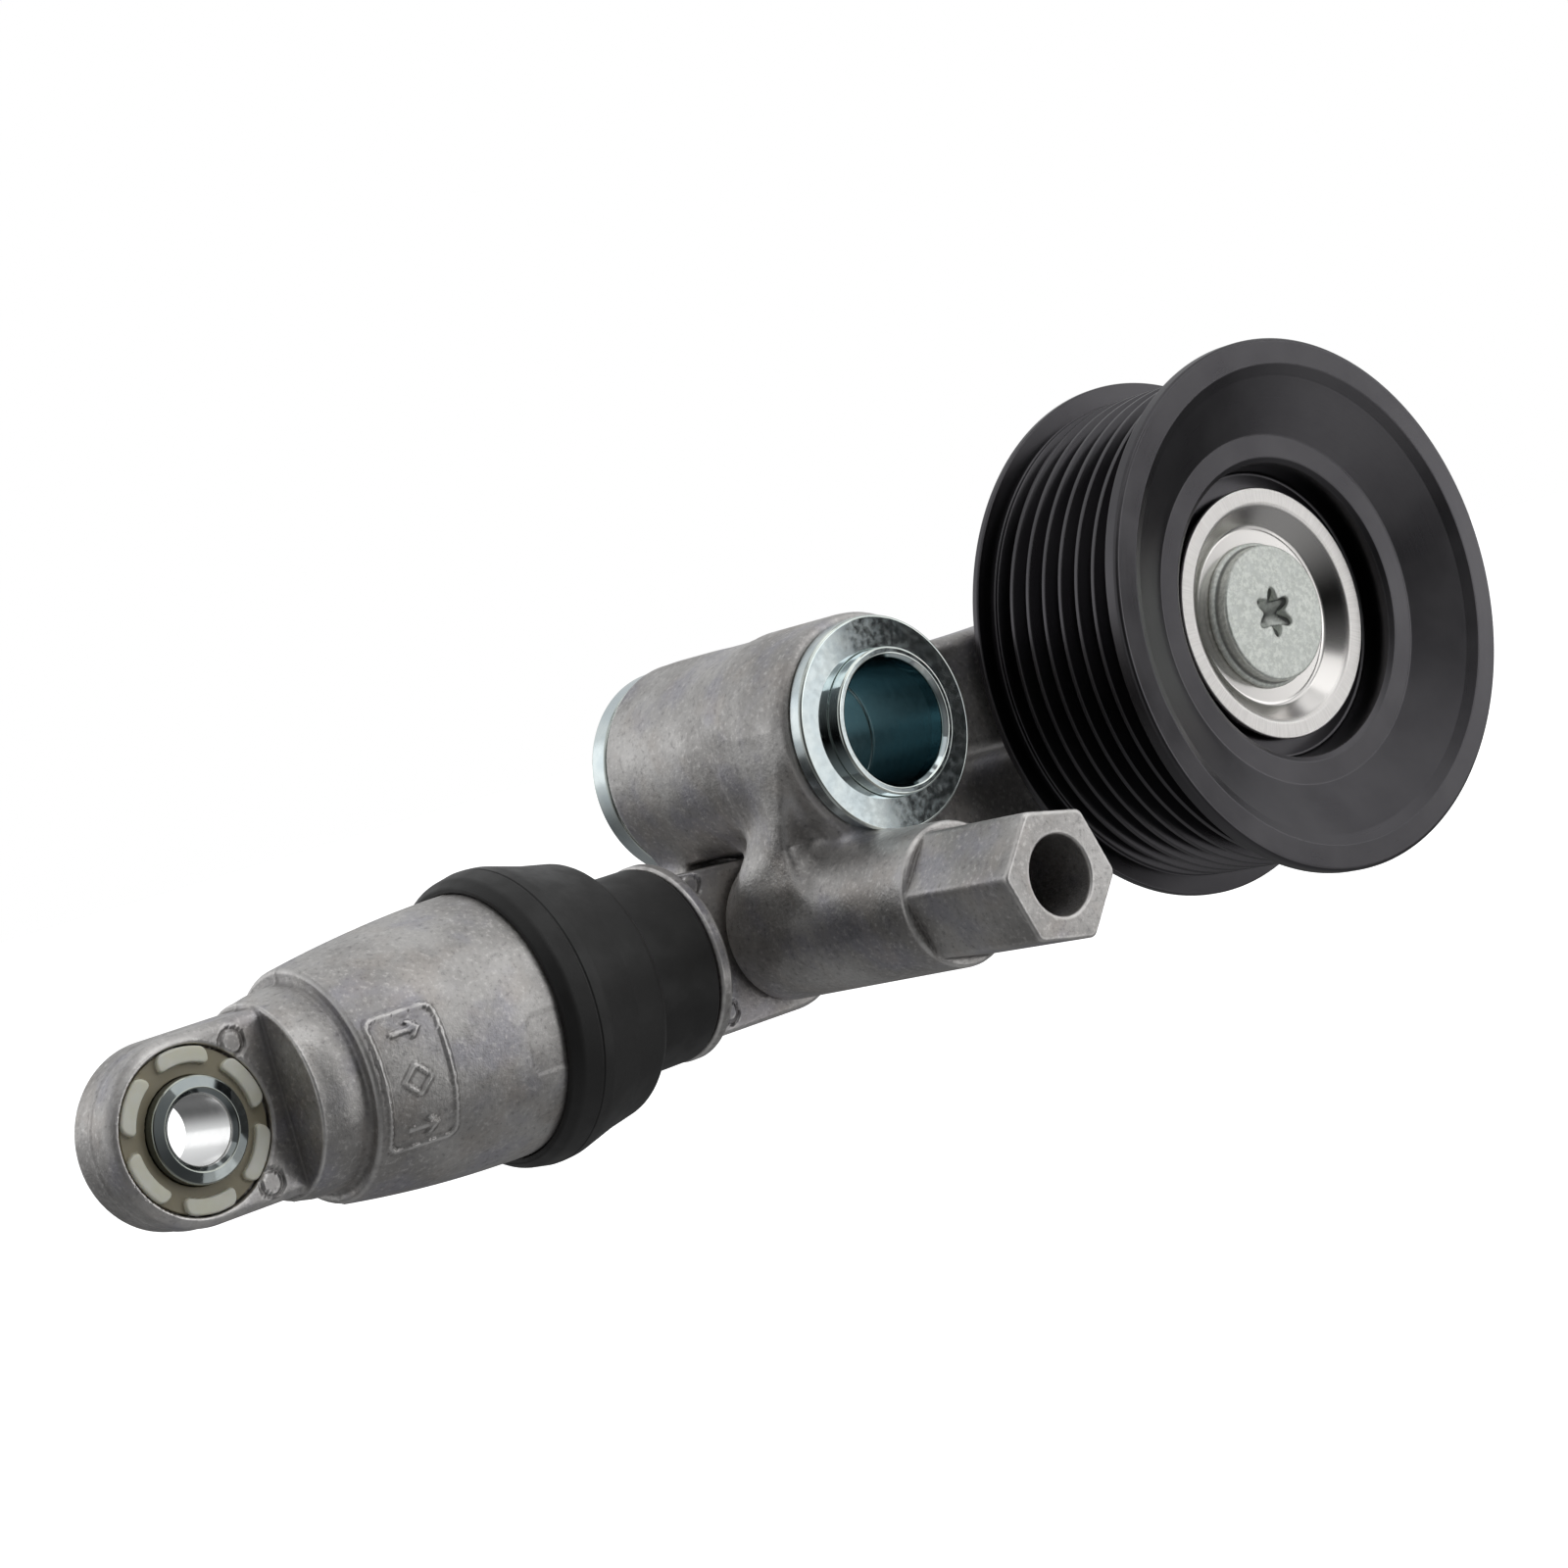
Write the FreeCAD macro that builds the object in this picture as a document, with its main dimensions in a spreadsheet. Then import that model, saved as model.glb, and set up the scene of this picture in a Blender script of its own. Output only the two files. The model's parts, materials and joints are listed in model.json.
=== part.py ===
import FreeCAD, Part
import Sketcher
import os

# Hydraulic belt tensioner with its grooved idler pulley, in millimetres.
# Origin: on the pivot axis, at the front face of the front thrust washer.
# +X runs along the damper strut towards the pulley, -Y is the front, +Z is up.

Vector = FreeCAD.Vector
Rotation = FreeCAD.Rotation
doc = FreeCAD.newDocument("belt_tensioner")
dims = doc.addObject("Spreadsheet::Sheet", "Dims")

DRIVING_DIMENSIONS = {
    # pivot, on the Y axis
    "sleeve_bore": 8.7,
    "sleeve_radius": 10.3,
    "sleeve_front": -2.3,
    "washer_radius": 15.15,
    "washer_thick": 2.3,
    "flange_front": 45.0,
    "flange_rear": 48.6,
    "hub_front": 2.8,
    "hub_rear": 44.4,
    "hub_radius": 15.1,
    "collar_radius": 16.7,
    "collar_rear": 15.0,
    "facing_gap": 0.4,
    "bush_wall": 1.5,
    "bush_length": 19.0,
    "running_gap": 0.05,
    "seat_gap": 0.02,
    # clevis that takes the damper strut
    "pin_x": -6.7,
    "pin_z": -24.2,
    "pin_radius": 5.0,
    "pin_front": 3.0,
    "pin_rear": 47.4,
    "clip_front": 45.7,
    "clip_thick": 0.9,
    "barrel_front_radius": 9.75,
    "barrel_rear_radius": 10.7,
    "barrel_rear": 25.3,
    "hex_flats": 17.0,
    "hex_front": -32.8,
    "hex_rear": -12.7,
    "hex_turn": 11.2,
    "hex_core_radius": 5.35,
    "web_front": 4.0,
    "web_rear": 21.0,
    "web_half_width": 8.6,
    "tang_relief": 11.1,
    "ear_front": 37.3,
    "ear_rear": 44.6,
    # arm beam and pulley boss
    "pulley_x": 85.7,
    "pulley_z": -1.8,
    "beam_front": 29.8,
    "beam_rear": 41.0,
    "beam_waist": 9.5,
    "beam_floor": 5.0,
    "beam_wall": 3.0,
    "gusset_rear": 42.0,
    "boss_radius": 13.0,
    "boss_neck_radius": 11.8,
    # pulley with seven grooves of the PK profile
    "pulley_radius": 40.9,
    "pulley_front": -3.9,
    "pulley_rear": 27.9,
    "crest_radius": 37.9,
    "groove_pitch": 3.56,
    "groove_depth": 2.9,
    "first_crest": 4.4,
    "crest_width": 0.7,
    "root_width": 0.75,
    # ball bearing 17 x 40 x 12
    "bearing_bore": 8.5,
    "bearing_radius": 20.0,
    "bearing_front": 8.0,
    "bearing_width": 12.0,
    "inner_land": 11.9,
    "outer_land": 16.7,
    "ball_radius": 3.37,
    "ball_pitch": 14.25,
    "race_gap": 0.1,
    # pulley bolt and dust shield
    "bolt_radius": 5.0,
    "bolt_end": 39.0,
    "head_radius": 10.5,
    "head_face": 4.3,
    "recess_depth": 3.2,
    "recess_lobe": 0.9,
    "recess_core": 3.0,
    "shield_radius": 19.5,
    "shield_rim": 4.6,
    "shield_thick": 0.6,
    # damper strut, along X
    "strut_y": 31.3,
    "eye_x": -105.8,
    "tang_half": 5.2,
    "eye_end_radius": 12.3,
    "eye_core_radius": 9.0,
    "eye_recess_radius": 10.8,
    "eye_recess_depth": 1.1,
    "lobe_radius": 10.6,
    "lobe_gap": 2.8,
    "eye_sleeve_radius": 6.95,
    "eye_bore": 4.5,
    "eye_sleeve_half": 6.5,
    "neck_start": -92.6,
    "neck_radius": 14.0,
    "shoulder_x": -85.5,
    "shoulder_radius": 15.8,
    "mouth_x": -50.0,
    "mouth_radius": 18.4,
    "spring_well_radius": 14.2,
    "spring_well_floor": -80.0,
    "cylinder_floor": -84.0,
    "spigot_radius": 12.0,
    "spigot_end": -38.0,
    "collar_plate_left": -26.0,
    "collar_plate_right": -24.0,
    "collar_plate_radius": 14.3,
    "upper_tang_half_width": 11.5,
    "upper_end_radius": 11.4,
    "upper_end_drop": 0.9,
    "upper_bush_radius": 8.0,
    # hydraulic cartridge inside the strut
    "cylinder_radius": 8.2,
    "cylinder_bore": 6.0,
    "cylinder_end": -47.5,
    "ring_groove_left": -49.5,
    "ring_groove_right": -48.7,
    "plunger_end": -68.0,
    "plunger_shoulder": -49.6,
    "plunger_bore": 3.6,
    "port_radius": 1.3,
    "rod_radius": 4.2,
    "rod_end": -29.0,
    "check_ball_radius": 2.0,
    "check_ball_x": -69.6,
    "cap_end": -74.2,
    "cap_wall": 0.6,
    "cap_radius": 2.9,
    "valve_spring_radius": 1.2,
    "valve_wire_radius": 0.2,
    "valve_spring_turns": 3.0,
    "spring_radius": 11.9,
    "spring_wire_radius": 1.6,
    "spring_turns": 6.0,
    # rubber boot
    "boot_lip": -57.0,
    "boot_crown_x": -52.8,
    "boot_crown_radius": 20.8,
    "boot_wall": 1.9,
}
GROOVES = 7
BALLS = 8
BUSH_LOBES = 6
DRIVE_LOBES = 6

for row, (alias, value) in enumerate(DRIVING_DIMENSIONS.items(), start=1):
    dims.set("A%d" % row, alias)
    dims.set("B%d" % row, str(value))
    dims.setAlias("B%d" % row, alias)
doc.recompute()

KEEP = Rotation()
X_TO_Y = Rotation(Vector(0, 0, 1), 90)
Z_TO_Y = Rotation(Vector(1, 0, 0), -90)
Z_TO_X = Rotation(Vector(0, 1, 0), 90)
PIVOT = ("0", "0", "0")
PIN = ("pin_x", "0", "pin_z")
PULLEY = ("pulley_x", "0", "pulley_z")
STRUT = ("0", "strut_y", "pin_z")
LOWER_EYE = ("eye_x", "strut_y", "pin_z")
sub_parts = []


def in_sheet(expression):
    """Writes the aliases of an expression as references to the sheet."""
    written = ""
    word = ""
    for letter in expression + " ":
        if letter.isalnum() or letter in "_.":
            word += letter
            continue
        written += "Dims." + word if word in DRIVING_DIMENSIONS else word
        written += letter
        word = ""
    return written.strip()


def number(expression):
    """The value of an expression of aliases."""
    return float(dims.evalExpression(in_sheet(expression)))


def bind(obj, **expressions):
    """Binds properties to the sheet; a double underscore in a name stands for a dot."""
    for name, expression in expressions.items():
        obj.setExpression(name.replace("__", "."), in_sheet(expression))


def place(obj, centre, rotation):
    """Gives an object its Placement, bound to the sheet."""
    obj.Placement = FreeCAD.Placement(Vector(*[number(c) for c in centre]), rotation)
    bind(obj, Placement__Base__x=centre[0], Placement__Base__y=centre[1], Placement__Base__z=centre[2])
    return obj


def along(centre, axis, start):
    """The point at a distance along X or Y from a centre."""
    x, y, z = centre
    if axis == "X":
        return ("%s + (%s)" % (x, start), y, z)
    return (x, "%s + (%s)" % (y, start), z)


def sub_part(label, obj):
    """Names a finished sub-part."""
    obj.Label = label
    sub_parts.append(obj)
    return obj


def closed_sketch(body, name, role, corners):
    """A closed sketch of straight edges; each corner is a pair of expressions."""
    plane = [feature for feature in body.Origin.OriginFeatures if feature.Role == role][0]
    sketch = body.newObject("Sketcher::SketchObject", name)
    sketch.AttachmentSupport = [(plane, "")]
    sketch.MapMode = "FlatFace"
    points = [Vector(number(across), number(up), 0) for across, up in corners]
    for i, point in enumerate(points):
        sketch.addGeometry(Part.LineSegment(point, points[(i + 1) % len(points)]), False)
    for i, (across, up) in enumerate(corners):
        sketch.addConstraint(Sketcher.Constraint("Coincident", i, 2, (i + 1) % len(points), 1))
        at_x = sketch.addConstraint(Sketcher.Constraint("DistanceX", -1, 1, i, 1, points[i].x))
        at_y = sketch.addConstraint(Sketcher.Constraint("DistanceY", -1, 1, i, 1, points[i].y))
        sketch.setExpression("Constraints[%d]" % at_x, in_sheet(across))
        sketch.setExpression("Constraints[%d]" % at_y, in_sheet(up))
    return sketch


def turned(name, centre, rotation, outline):
    """A turned body; its outline holds (place along the axis, radius) pairs."""
    body = doc.addObject("PartDesign::Body", name)
    sketch = closed_sketch(body, name + "_outline", "XY_Plane", outline)
    turn = body.newObject("PartDesign::Revolution", name + "_turn")
    turn.Profile = sketch
    turn.ReferenceAxis = (sketch, ["H_Axis"])
    turn.Angle = 360
    return place(body, centre, rotation)


def tube(name, centre, rotation, start, end, inner, outer):
    """A turned ring of rectangular section."""
    return turned(name, centre, rotation, [(start, inner), (end, inner), (end, outer), (start, outer)])


def rod(name, centre, axis, start, end, radius):
    """A plain cylinder along X or Y."""
    cylinder = doc.addObject("Part::Cylinder", name)
    bind(cylinder, Radius=radius, Height="%s - (%s)" % (end, start))
    return place(cylinder, along(centre, axis, start), Z_TO_X if axis == "X" else Z_TO_Y)


def plate(name, front, rear, corners):
    """A flat plate between two places on Y; its corners are (x, z) pairs."""
    body = doc.addObject("PartDesign::Body", name)
    sketch = closed_sketch(body, name + "_outline", "XZ_Plane", corners)
    pad = body.newObject("PartDesign::Pad", name + "_pad")
    pad.Profile = sketch
    pad.Reversed = True
    bind(pad, Length="%s - (%s)" % (rear, front))
    return place(body, ("0", front, "0"), KEEP)


def fused(name, *shapes):
    """One solid from several that overlap."""
    union = doc.addObject("Part::MultiFuse", name)
    union.Shapes = list(shapes)
    union.Refine = True
    return union


def cut(name, base, *tools):
    """The base with each tool cut away in turn."""
    for i, tool in enumerate(tools):
        step = doc.addObject("Part::Cut", "%s_cut_%d" % (name, i))
        step.Base = base
        step.Tool = tool
        base = step
    return base


def ring_of(name, kind, count, radius, offset, **sizes):
    """Equal primitives on a circle about the pulley axis."""
    pieces = []
    for i in range(count):
        angle = 360.0 * i / count
        piece = doc.addObject(kind, "%s_%d" % (name, i))
        bind(piece, **sizes)
        x = "pulley_x + %s * cos(%.4f deg)" % (radius, angle)
        z = "pulley_z + %s * sin(%.4f deg)" % (radius, angle)
        pieces.append(place(piece, (x, offset, z), Z_TO_Y))
    return pieces


def spokes(name, count, offset, radius, reach):
    """Equal cylinders that point outwards from the pulley axis."""
    pieces = []
    for i in range(count):
        angle = 360.0 / count * i
        cylinder = doc.addObject("Part::Cylinder", "%s_%d" % (name, i))
        bind(cylinder, Radius=radius, Height=reach)
        outwards = Rotation(Vector(0, 1, 0), -angle).multiply(Z_TO_X)
        pieces.append(place(cylinder, along(PULLEY, "Y", offset), outwards))
    return pieces


def coil(name, start, end, turns, radius, wire):
    """A round-wire compression spring about the strut axis."""
    helix = doc.addObject("Part::Helix", name + "_line")
    height = "%s - (%s)" % (end, start)
    bind(helix, Radius=radius, Height=height, Pitch="(%s) / %s" % (height, turns))
    place(helix, along(STRUT, "X", start), Z_TO_X)
    section = doc.addObject("Part::Circle", name + "_section")
    bind(section, Radius=wire)
    place(section, (start, "strut_y", "pin_z - (%s)" % radius), Z_TO_Y)
    sweep = doc.addObject("Part::Sweep", name)
    sweep.Sections = [section]
    sweep.Spine = (helix, ["Edge1"])
    sweep.Solid = True
    sweep.Frenet = True
    return sweep


def pivot():
    """The steel sleeve the arm swings on, with its thrust washer, bushes and thrust discs."""
    outline = [
        ("sleeve_front", "sleeve_bore + 0.5"),
        ("sleeve_front + 0.5", "sleeve_bore"),
        ("flange_rear", "sleeve_bore"),
        ("flange_rear", "washer_radius - 0.4"),
        ("flange_rear - 0.4", "washer_radius"),
        ("flange_front + 0.3", "washer_radius"),
        ("flange_front", "washer_radius - 0.3"),
        ("flange_front", "sleeve_radius"),
        ("sleeve_front + 0.8", "sleeve_radius"),
        ("sleeve_front", "sleeve_radius - 0.6"),
    ]
    sub_part("pivot_sleeve", turned("sleeve", PIVOT, X_TO_Y, outline))
    outline = [
        ("0", "sleeve_radius + seat_gap"),
        ("washer_thick", "sleeve_radius + seat_gap"),
        ("washer_thick", "washer_radius"),
        ("0.3", "washer_radius"),
        ("0", "washer_radius - 0.3"),
    ]
    sub_part("thrust_washer", turned("washer", PIVOT, X_TO_Y, outline))
    inner = "sleeve_radius + running_gap"
    outer = "sleeve_radius + running_gap + bush_wall - seat_gap"
    spans = {"front": ("hub_front + 0.2", "hub_front + 0.2 + bush_length"),
             "rear": ("hub_rear - 0.2 - bush_length", "hub_rear - 0.2")}
    for side, (start, end) in spans.items():
        name = "pivot_bush_" + side
        sub_part(name, tube(name, PIVOT, X_TO_Y, start, end, inner, outer))
    gaps = {"front": ("washer_thick", "hub_front"), "rear": ("hub_rear", "flange_front")}
    for side, (start, end) in gaps.items():
        name = "thrust_disc_" + side
        disc = tube(name, PIVOT, X_TO_Y, start + " + running_gap", end + " - running_gap",
                    inner, "washer_radius - 0.4")
        sub_part(name, disc)


def arm():
    """The cast arm: hub, clevis with its release hex, beam and pulley boss."""
    hub = turned("hub", PIVOT, X_TO_Y, [
        ("hub_front", "0"),
        ("hub_front", "collar_radius - 1.2"),
        ("hub_front + 1.2", "collar_radius"),
        ("collar_rear", "collar_radius"),
        ("collar_rear + 6", "hub_radius"),
        ("hub_rear", "hub_radius"),
        ("hub_rear", "0"),
    ])
    barrel = doc.addObject("Part::Cone", "barrel")
    bind(barrel, Radius1="barrel_front_radius", Radius2="barrel_rear_radius",
         Height="barrel_rear - (hex_rear)")
    place(barrel, along(PIN, "Y", "hex_rear"), Z_TO_Y)
    hexagon = doc.addObject("Part::Prism", "release_hex")
    hexagon.Polygon = 6
    bind(hexagon, Circumradius="hex_flats / sqrt(3)", Height="hex_rear - (hex_front)")
    turn = Rotation(Vector(0, 0, 1), number("hex_turn"))
    place(hexagon, along(PIN, "Y", "hex_front"), Z_TO_Y.multiply(turn))
    web = plate("web", "web_front", "web_rear", [
        ("-web_half_width", "web_half_width * 0.27"),
        ("pin_x - barrel_front_radius * 0.96", "pin_z + barrel_front_radius * 0.27"),
        ("pin_x + barrel_front_radius * 0.96", "pin_z - barrel_front_radius * 0.27"),
        ("web_half_width", "-web_half_width * 0.27"),
    ])
    ear = rod("rear_ear", PIN, "Y", "ear_front", "ear_rear", "barrel_rear_radius")
    boss = rod("pulley_boss", PULLEY, "Y", "beam_front", "beam_rear", "boss_radius")
    neck = rod("boss_neck", PULLEY, "Y", "bearing_front + bearing_width", "beam_front + 1",
               "boss_neck_radius")
    spigot = rod("boss_spigot", PULLEY, "Y", "bearing_front + 0.4", "beam_front", "bearing_bore - seat_gap")
    beam = plate("beam", "beam_front", "beam_rear", [
        ("0", "hub_radius - 3"),
        ("pulley_x * 0.45", "beam_waist - 1"),
        ("pulley_x", "pulley_z + boss_radius - 0.4"),
        ("pulley_x", "pulley_z - boss_radius + 0.4"),
        ("pulley_x * 0.45", "-beam_waist - 2"),
        ("0", "-hub_radius + 3"),
    ])
    gusset = plate("gusset", "ear_front", "gusset_rear", [
        ("0", "5"),
        ("pulley_x", "pulley_z + 5"),
        ("pulley_x", "pulley_z - boss_radius + 0.4"),
        ("pin_x + 1", "pin_z - barrel_rear_radius + 0.2"),
        ("pin_x - barrel_rear_radius + 1", "pin_z + 3"),
    ])
    casting = fused("casting", hub, barrel, hexagon, web, ear, boss, neck, spigot, beam, gusset)
    pocket = plate("beam_pocket", "beam_front + beam_floor", "gusset_rear + 1", [
        ("hub_radius + beam_wall + 1", "6"),
        ("pulley_x * 0.45", "beam_waist - 1 - beam_wall"),
        ("pulley_x - boss_radius - beam_wall", "6"),
        ("pulley_x - boss_radius - beam_wall", "-9"),
        ("pulley_x * 0.45", "-beam_waist - 2 + beam_wall"),
        ("hub_radius + beam_wall + 1", "-9"),
    ])
    sub_part("arm_casting", cut(
        "casting",
        casting,
        pocket,
        rod("hub_bore", PIVOT, "Y", "0", "flange_rear", "sleeve_radius + running_gap + bush_wall"),
        rod("hub_facing", PIVOT, "Y", "-facing_gap", "hub_front", "washer_radius + facing_gap"),
        rod("tang_slot", PIN, "Y", "barrel_rear", "ear_front", "tang_relief"),
        rod("hex_core", PIN, "Y", "hex_front - 1", "pin_front - 1", "hex_core_radius"),
        rod("pin_hole", PIN, "Y", "pin_front - 2", "ear_rear + 1", "pin_radius"),
        rod("bolt_hole", PULLEY, "Y", "0", "beam_rear + 1", "bolt_radius + seat_gap"),
    ))


def clevis_fasteners():
    """The pin through the clevis, its washer and its retaining clip."""
    outline = [
        ("pin_front", "0"),
        ("pin_front", "pin_radius - seat_gap - 0.6"),
        ("pin_front + 0.6", "pin_radius - seat_gap"),
        ("clip_front - running_gap", "pin_radius - seat_gap"),
        ("clip_front - running_gap", "pin_radius - 0.6"),
        ("clip_front + clip_thick + running_gap", "pin_radius - 0.6"),
        ("clip_front + clip_thick + running_gap", "pin_radius - seat_gap"),
        ("pin_rear - 0.5", "pin_radius - seat_gap"),
        ("pin_rear", "pin_radius - seat_gap - 0.5"),
        ("pin_rear", "0"),
    ]
    sub_part("clevis_pin", turned("pin", PIN, X_TO_Y, outline))
    washer = tube("pin_washer", PIN, X_TO_Y, "ear_rear + seat_gap", "clip_front - 2 * running_gap",
                  "pin_radius + running_gap", "pin_radius + 3.6")
    sub_part("pin_washer", washer)
    ring = tube("clip_ring", PIN, X_TO_Y, "clip_front", "clip_front + clip_thick",
                "pin_radius - 0.55", "pin_radius + 2.8")
    mouth = plate("clip_mouth", "clip_front - 1", "clip_front + clip_thick + 1", [
        ("pin_x - 3.2", "pin_z"),
        ("pin_x - 3.2", "pin_z - 10"),
        ("pin_x + 3.2", "pin_z - 10"),
        ("pin_x + 3.2", "pin_z"),
    ])
    sub_part("pin_clip", cut("clip", ring, mouth))


def pulley():
    """The grooved idler pulley: dished front, seven grooves, hollow rear."""
    root = "crest_radius - groove_depth"
    outline = [
        ("pulley_front + 0.4", "pulley_radius"),
        ("pulley_front + 2.6", "pulley_radius"),
        ("first_crest - groove_pitch - crest_width / 2", "crest_radius"),
    ]
    for i in range(GROOVES):
        middle = "first_crest + groove_pitch * %.1f" % (i - 0.5)
        outline += [
            (middle + " - groove_pitch / 2 + crest_width / 2", "crest_radius"),
            (middle + " - root_width / 2", root),
            (middle + " + root_width / 2", root),
            (middle + " + groove_pitch / 2 - crest_width / 2", "crest_radius"),
        ]
    outline += [
        ("first_crest + groove_pitch * %d + crest_width / 2" % (GROOVES - 1), "crest_radius"),
        ("pulley_rear - 0.9", "pulley_radius - 0.3"),
        ("pulley_rear - 0.5", "pulley_radius"),
        ("pulley_rear", "pulley_radius - 0.2"),
        ("pulley_rear", root + " - 1.8"),
        ("pulley_rear - 0.8", root + " - 2.6"),
        ("3.0", root + " - 3.0"),
        ("5.0", "27.5"),
        ("7.5", "24.2"),
        ("bearing_front + bearing_width + 1.4", "24.0"),
        ("bearing_front + bearing_width + 2.0", "23.2"),
        ("bearing_front + bearing_width + 2.0", "bearing_radius"),
        ("bearing_front", "bearing_radius"),
        ("bearing_front", "18.6"),
        ("bearing_front - 1.4", "18.6"),
        ("bearing_front - 1.4", "22.4"),
        ("1.9", "22.9"),
        ("1.4", "23.4"),
        ("1.3", "27.0"),
        ("pulley_front + 0.2", "36.6"),
        ("pulley_front", "pulley_radius - 0.4"),
    ]
    sub_part("pulley", turned("pulley_rim", PULLEY, X_TO_Y, outline))


def bearing():
    """The sealed ball bearing between the boss and the pulley."""
    rear = "bearing_front + bearing_width"
    race = doc.addObject("Part::Torus", "race_track")
    bind(race, Radius1="ball_pitch", Radius2="ball_radius + race_gap")
    middle = "bearing_front + bearing_width / 2"
    place(race, along(PULLEY, "Y", middle), Z_TO_Y)
    inner = tube("inner_blank", PULLEY, X_TO_Y, "bearing_front", rear, "bearing_bore", "inner_land")
    sub_part("bearing_inner_ring", cut("inner_ring", inner, race))
    outer = turned("outer_blank", PULLEY, X_TO_Y, [
        ("bearing_front + seat_gap", "outer_land + 0.5"),
        ("bearing_front + 1.2", "outer_land + 0.5"),
        ("bearing_front + 1.2", "outer_land"),
        (rear + " - 1.2", "outer_land"),
        (rear + " - 1.2", "outer_land + 0.5"),
        (rear, "outer_land + 0.5"),
        (rear, "bearing_radius - seat_gap"),
        ("bearing_front + seat_gap", "bearing_radius - seat_gap"),
    ])
    sub_part("bearing_outer_ring", cut("outer_ring", outer, race))
    spans = {
        "front": ("bearing_front + 0.3", "bearing_front + 1.1"),
        "rear": (rear + " - 1.1", rear + " - 0.3"),
    }
    for side, (start, end) in spans.items():
        name = "bearing_seal_" + side
        sub_part(name, tube(name, PULLEY, X_TO_Y, start, end, "inner_land + 0.15", "outer_land + 0.45"))
    balls = ring_of("ball", "Part::Sphere", BALLS, "ball_pitch", middle, Radius="ball_radius")
    pockets = spokes("pocket", BALLS, middle, "ball_radius + running_gap", "bearing_radius")
    sub_part("bearing_balls", fused("balls", *balls))
    blank = tube("cage_blank", PULLEY, X_TO_Y, middle + " - 4", middle + " + 4",
                 "ball_pitch - 1.05", "ball_pitch + 1.05")
    sub_part("bearing_cage", cut("cage", blank, fused("pockets", *pockets)))


def pulley_bolt():
    """The bolt that clamps the dust shield and the inner ring against the boss."""
    seat = "bearing_front - shield_thick"
    blank = turned("bolt_blank", PULLEY, X_TO_Y, [
        ("head_face", "0"),
        ("head_face", "head_radius - 0.4"),
        ("head_face + 0.3", "head_radius"),
        (seat + " - 0.6", "head_radius + 0.35"),
        (seat + " - 0.3", "head_radius + 0.8"),
        (seat, "head_radius + 0.8"),
        (seat, "bolt_radius"),
        ("bolt_end - 1", "bolt_radius"),
        ("bolt_end", "bolt_radius - 1"),
        ("bolt_end", "0"),
    ])
    lobes = ring_of("drive_lobe", "Part::Cylinder", DRIVE_LOBES, "recess_core", "head_face - 1",
                    Radius="recess_lobe", Height="recess_depth + 1")
    core = rod("drive_core", PULLEY, "Y", "head_face - 1", "head_face + recess_depth", "recess_core")
    sub_part("pulley_bolt", cut("bolt", blank, fused("drive", core, *lobes)))
    outline = [
        ("bearing_front", "bolt_radius + 0.2"),
        (seat, "bolt_radius + 0.2"),
        (seat, "14.2"),
        ("shield_rim", "15.9"),
        ("shield_rim", "shield_radius - 0.3"),
        ("shield_rim + 0.3", "shield_radius"),
        ("shield_rim + shield_thick", "shield_radius"),
        ("shield_rim + shield_thick", "16.4"),
        ("bearing_front", "14.8"),
    ]
    sub_part("dust_shield", turned("shield", PULLEY, X_TO_Y, outline))


def strut_housing():
    """The cast lower half of the strut: eye tang, neck, shoulder and spring well."""
    shell = turned("housing_shell", STRUT, KEEP, [
        ("neck_start", "0"),
        ("neck_start", "eye_end_radius + 0.2"),
        ("neck_start + 4", "neck_radius - 0.3"),
        ("shoulder_x - 0.4", "neck_radius"),
        ("shoulder_x", "shoulder_radius - 0.3"),
        ("shoulder_x + 0.6", "shoulder_radius"),
        ("shoulder_x + 8", "mouth_radius - 1.7"),
        ("shoulder_x + 16", "mouth_radius - 0.8"),
        ("shoulder_x + 24", "mouth_radius - 0.2"),
        ("boot_lip", "mouth_radius"),
        ("mouth_x", "mouth_radius"),
        ("mouth_x", "spring_well_radius"),
        ("spring_well_floor", "spring_well_radius"),
        ("spring_well_floor", "cylinder_radius + seat_gap"),
        ("cylinder_floor", "cylinder_radius + seat_gap"),
        ("cylinder_floor", "0"),
    ])
    tang = plate("lower_tang", "strut_y - tang_half", "strut_y + tang_half", [
        ("eye_x", "pin_z + eye_end_radius"),
        ("neck_start + 2", "pin_z + eye_end_radius"),
        ("neck_start + 2", "pin_z - eye_end_radius"),
        ("eye_x", "pin_z - eye_end_radius"),
    ])
    end = rod("eye_end", LOWER_EYE, "Y", "-tang_half", "tang_half", "eye_end_radius")
    body = fused("housing", shell, tang, end)
    sub_part("strut_housing", cut(
        "housing",
        body,
        rod("eye_core", LOWER_EYE, "Y", "-tang_half - 1", "tang_half + 1", "eye_core_radius"),
        rod("eye_recess_front", LOWER_EYE, "Y", "-tang_half - 1", "-tang_half + eye_recess_depth",
            "eye_recess_radius"),
        rod("eye_recess_rear", LOWER_EYE, "Y", "tang_half - eye_recess_depth", "tang_half + 1",
            "eye_recess_radius"),
    ))


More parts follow.
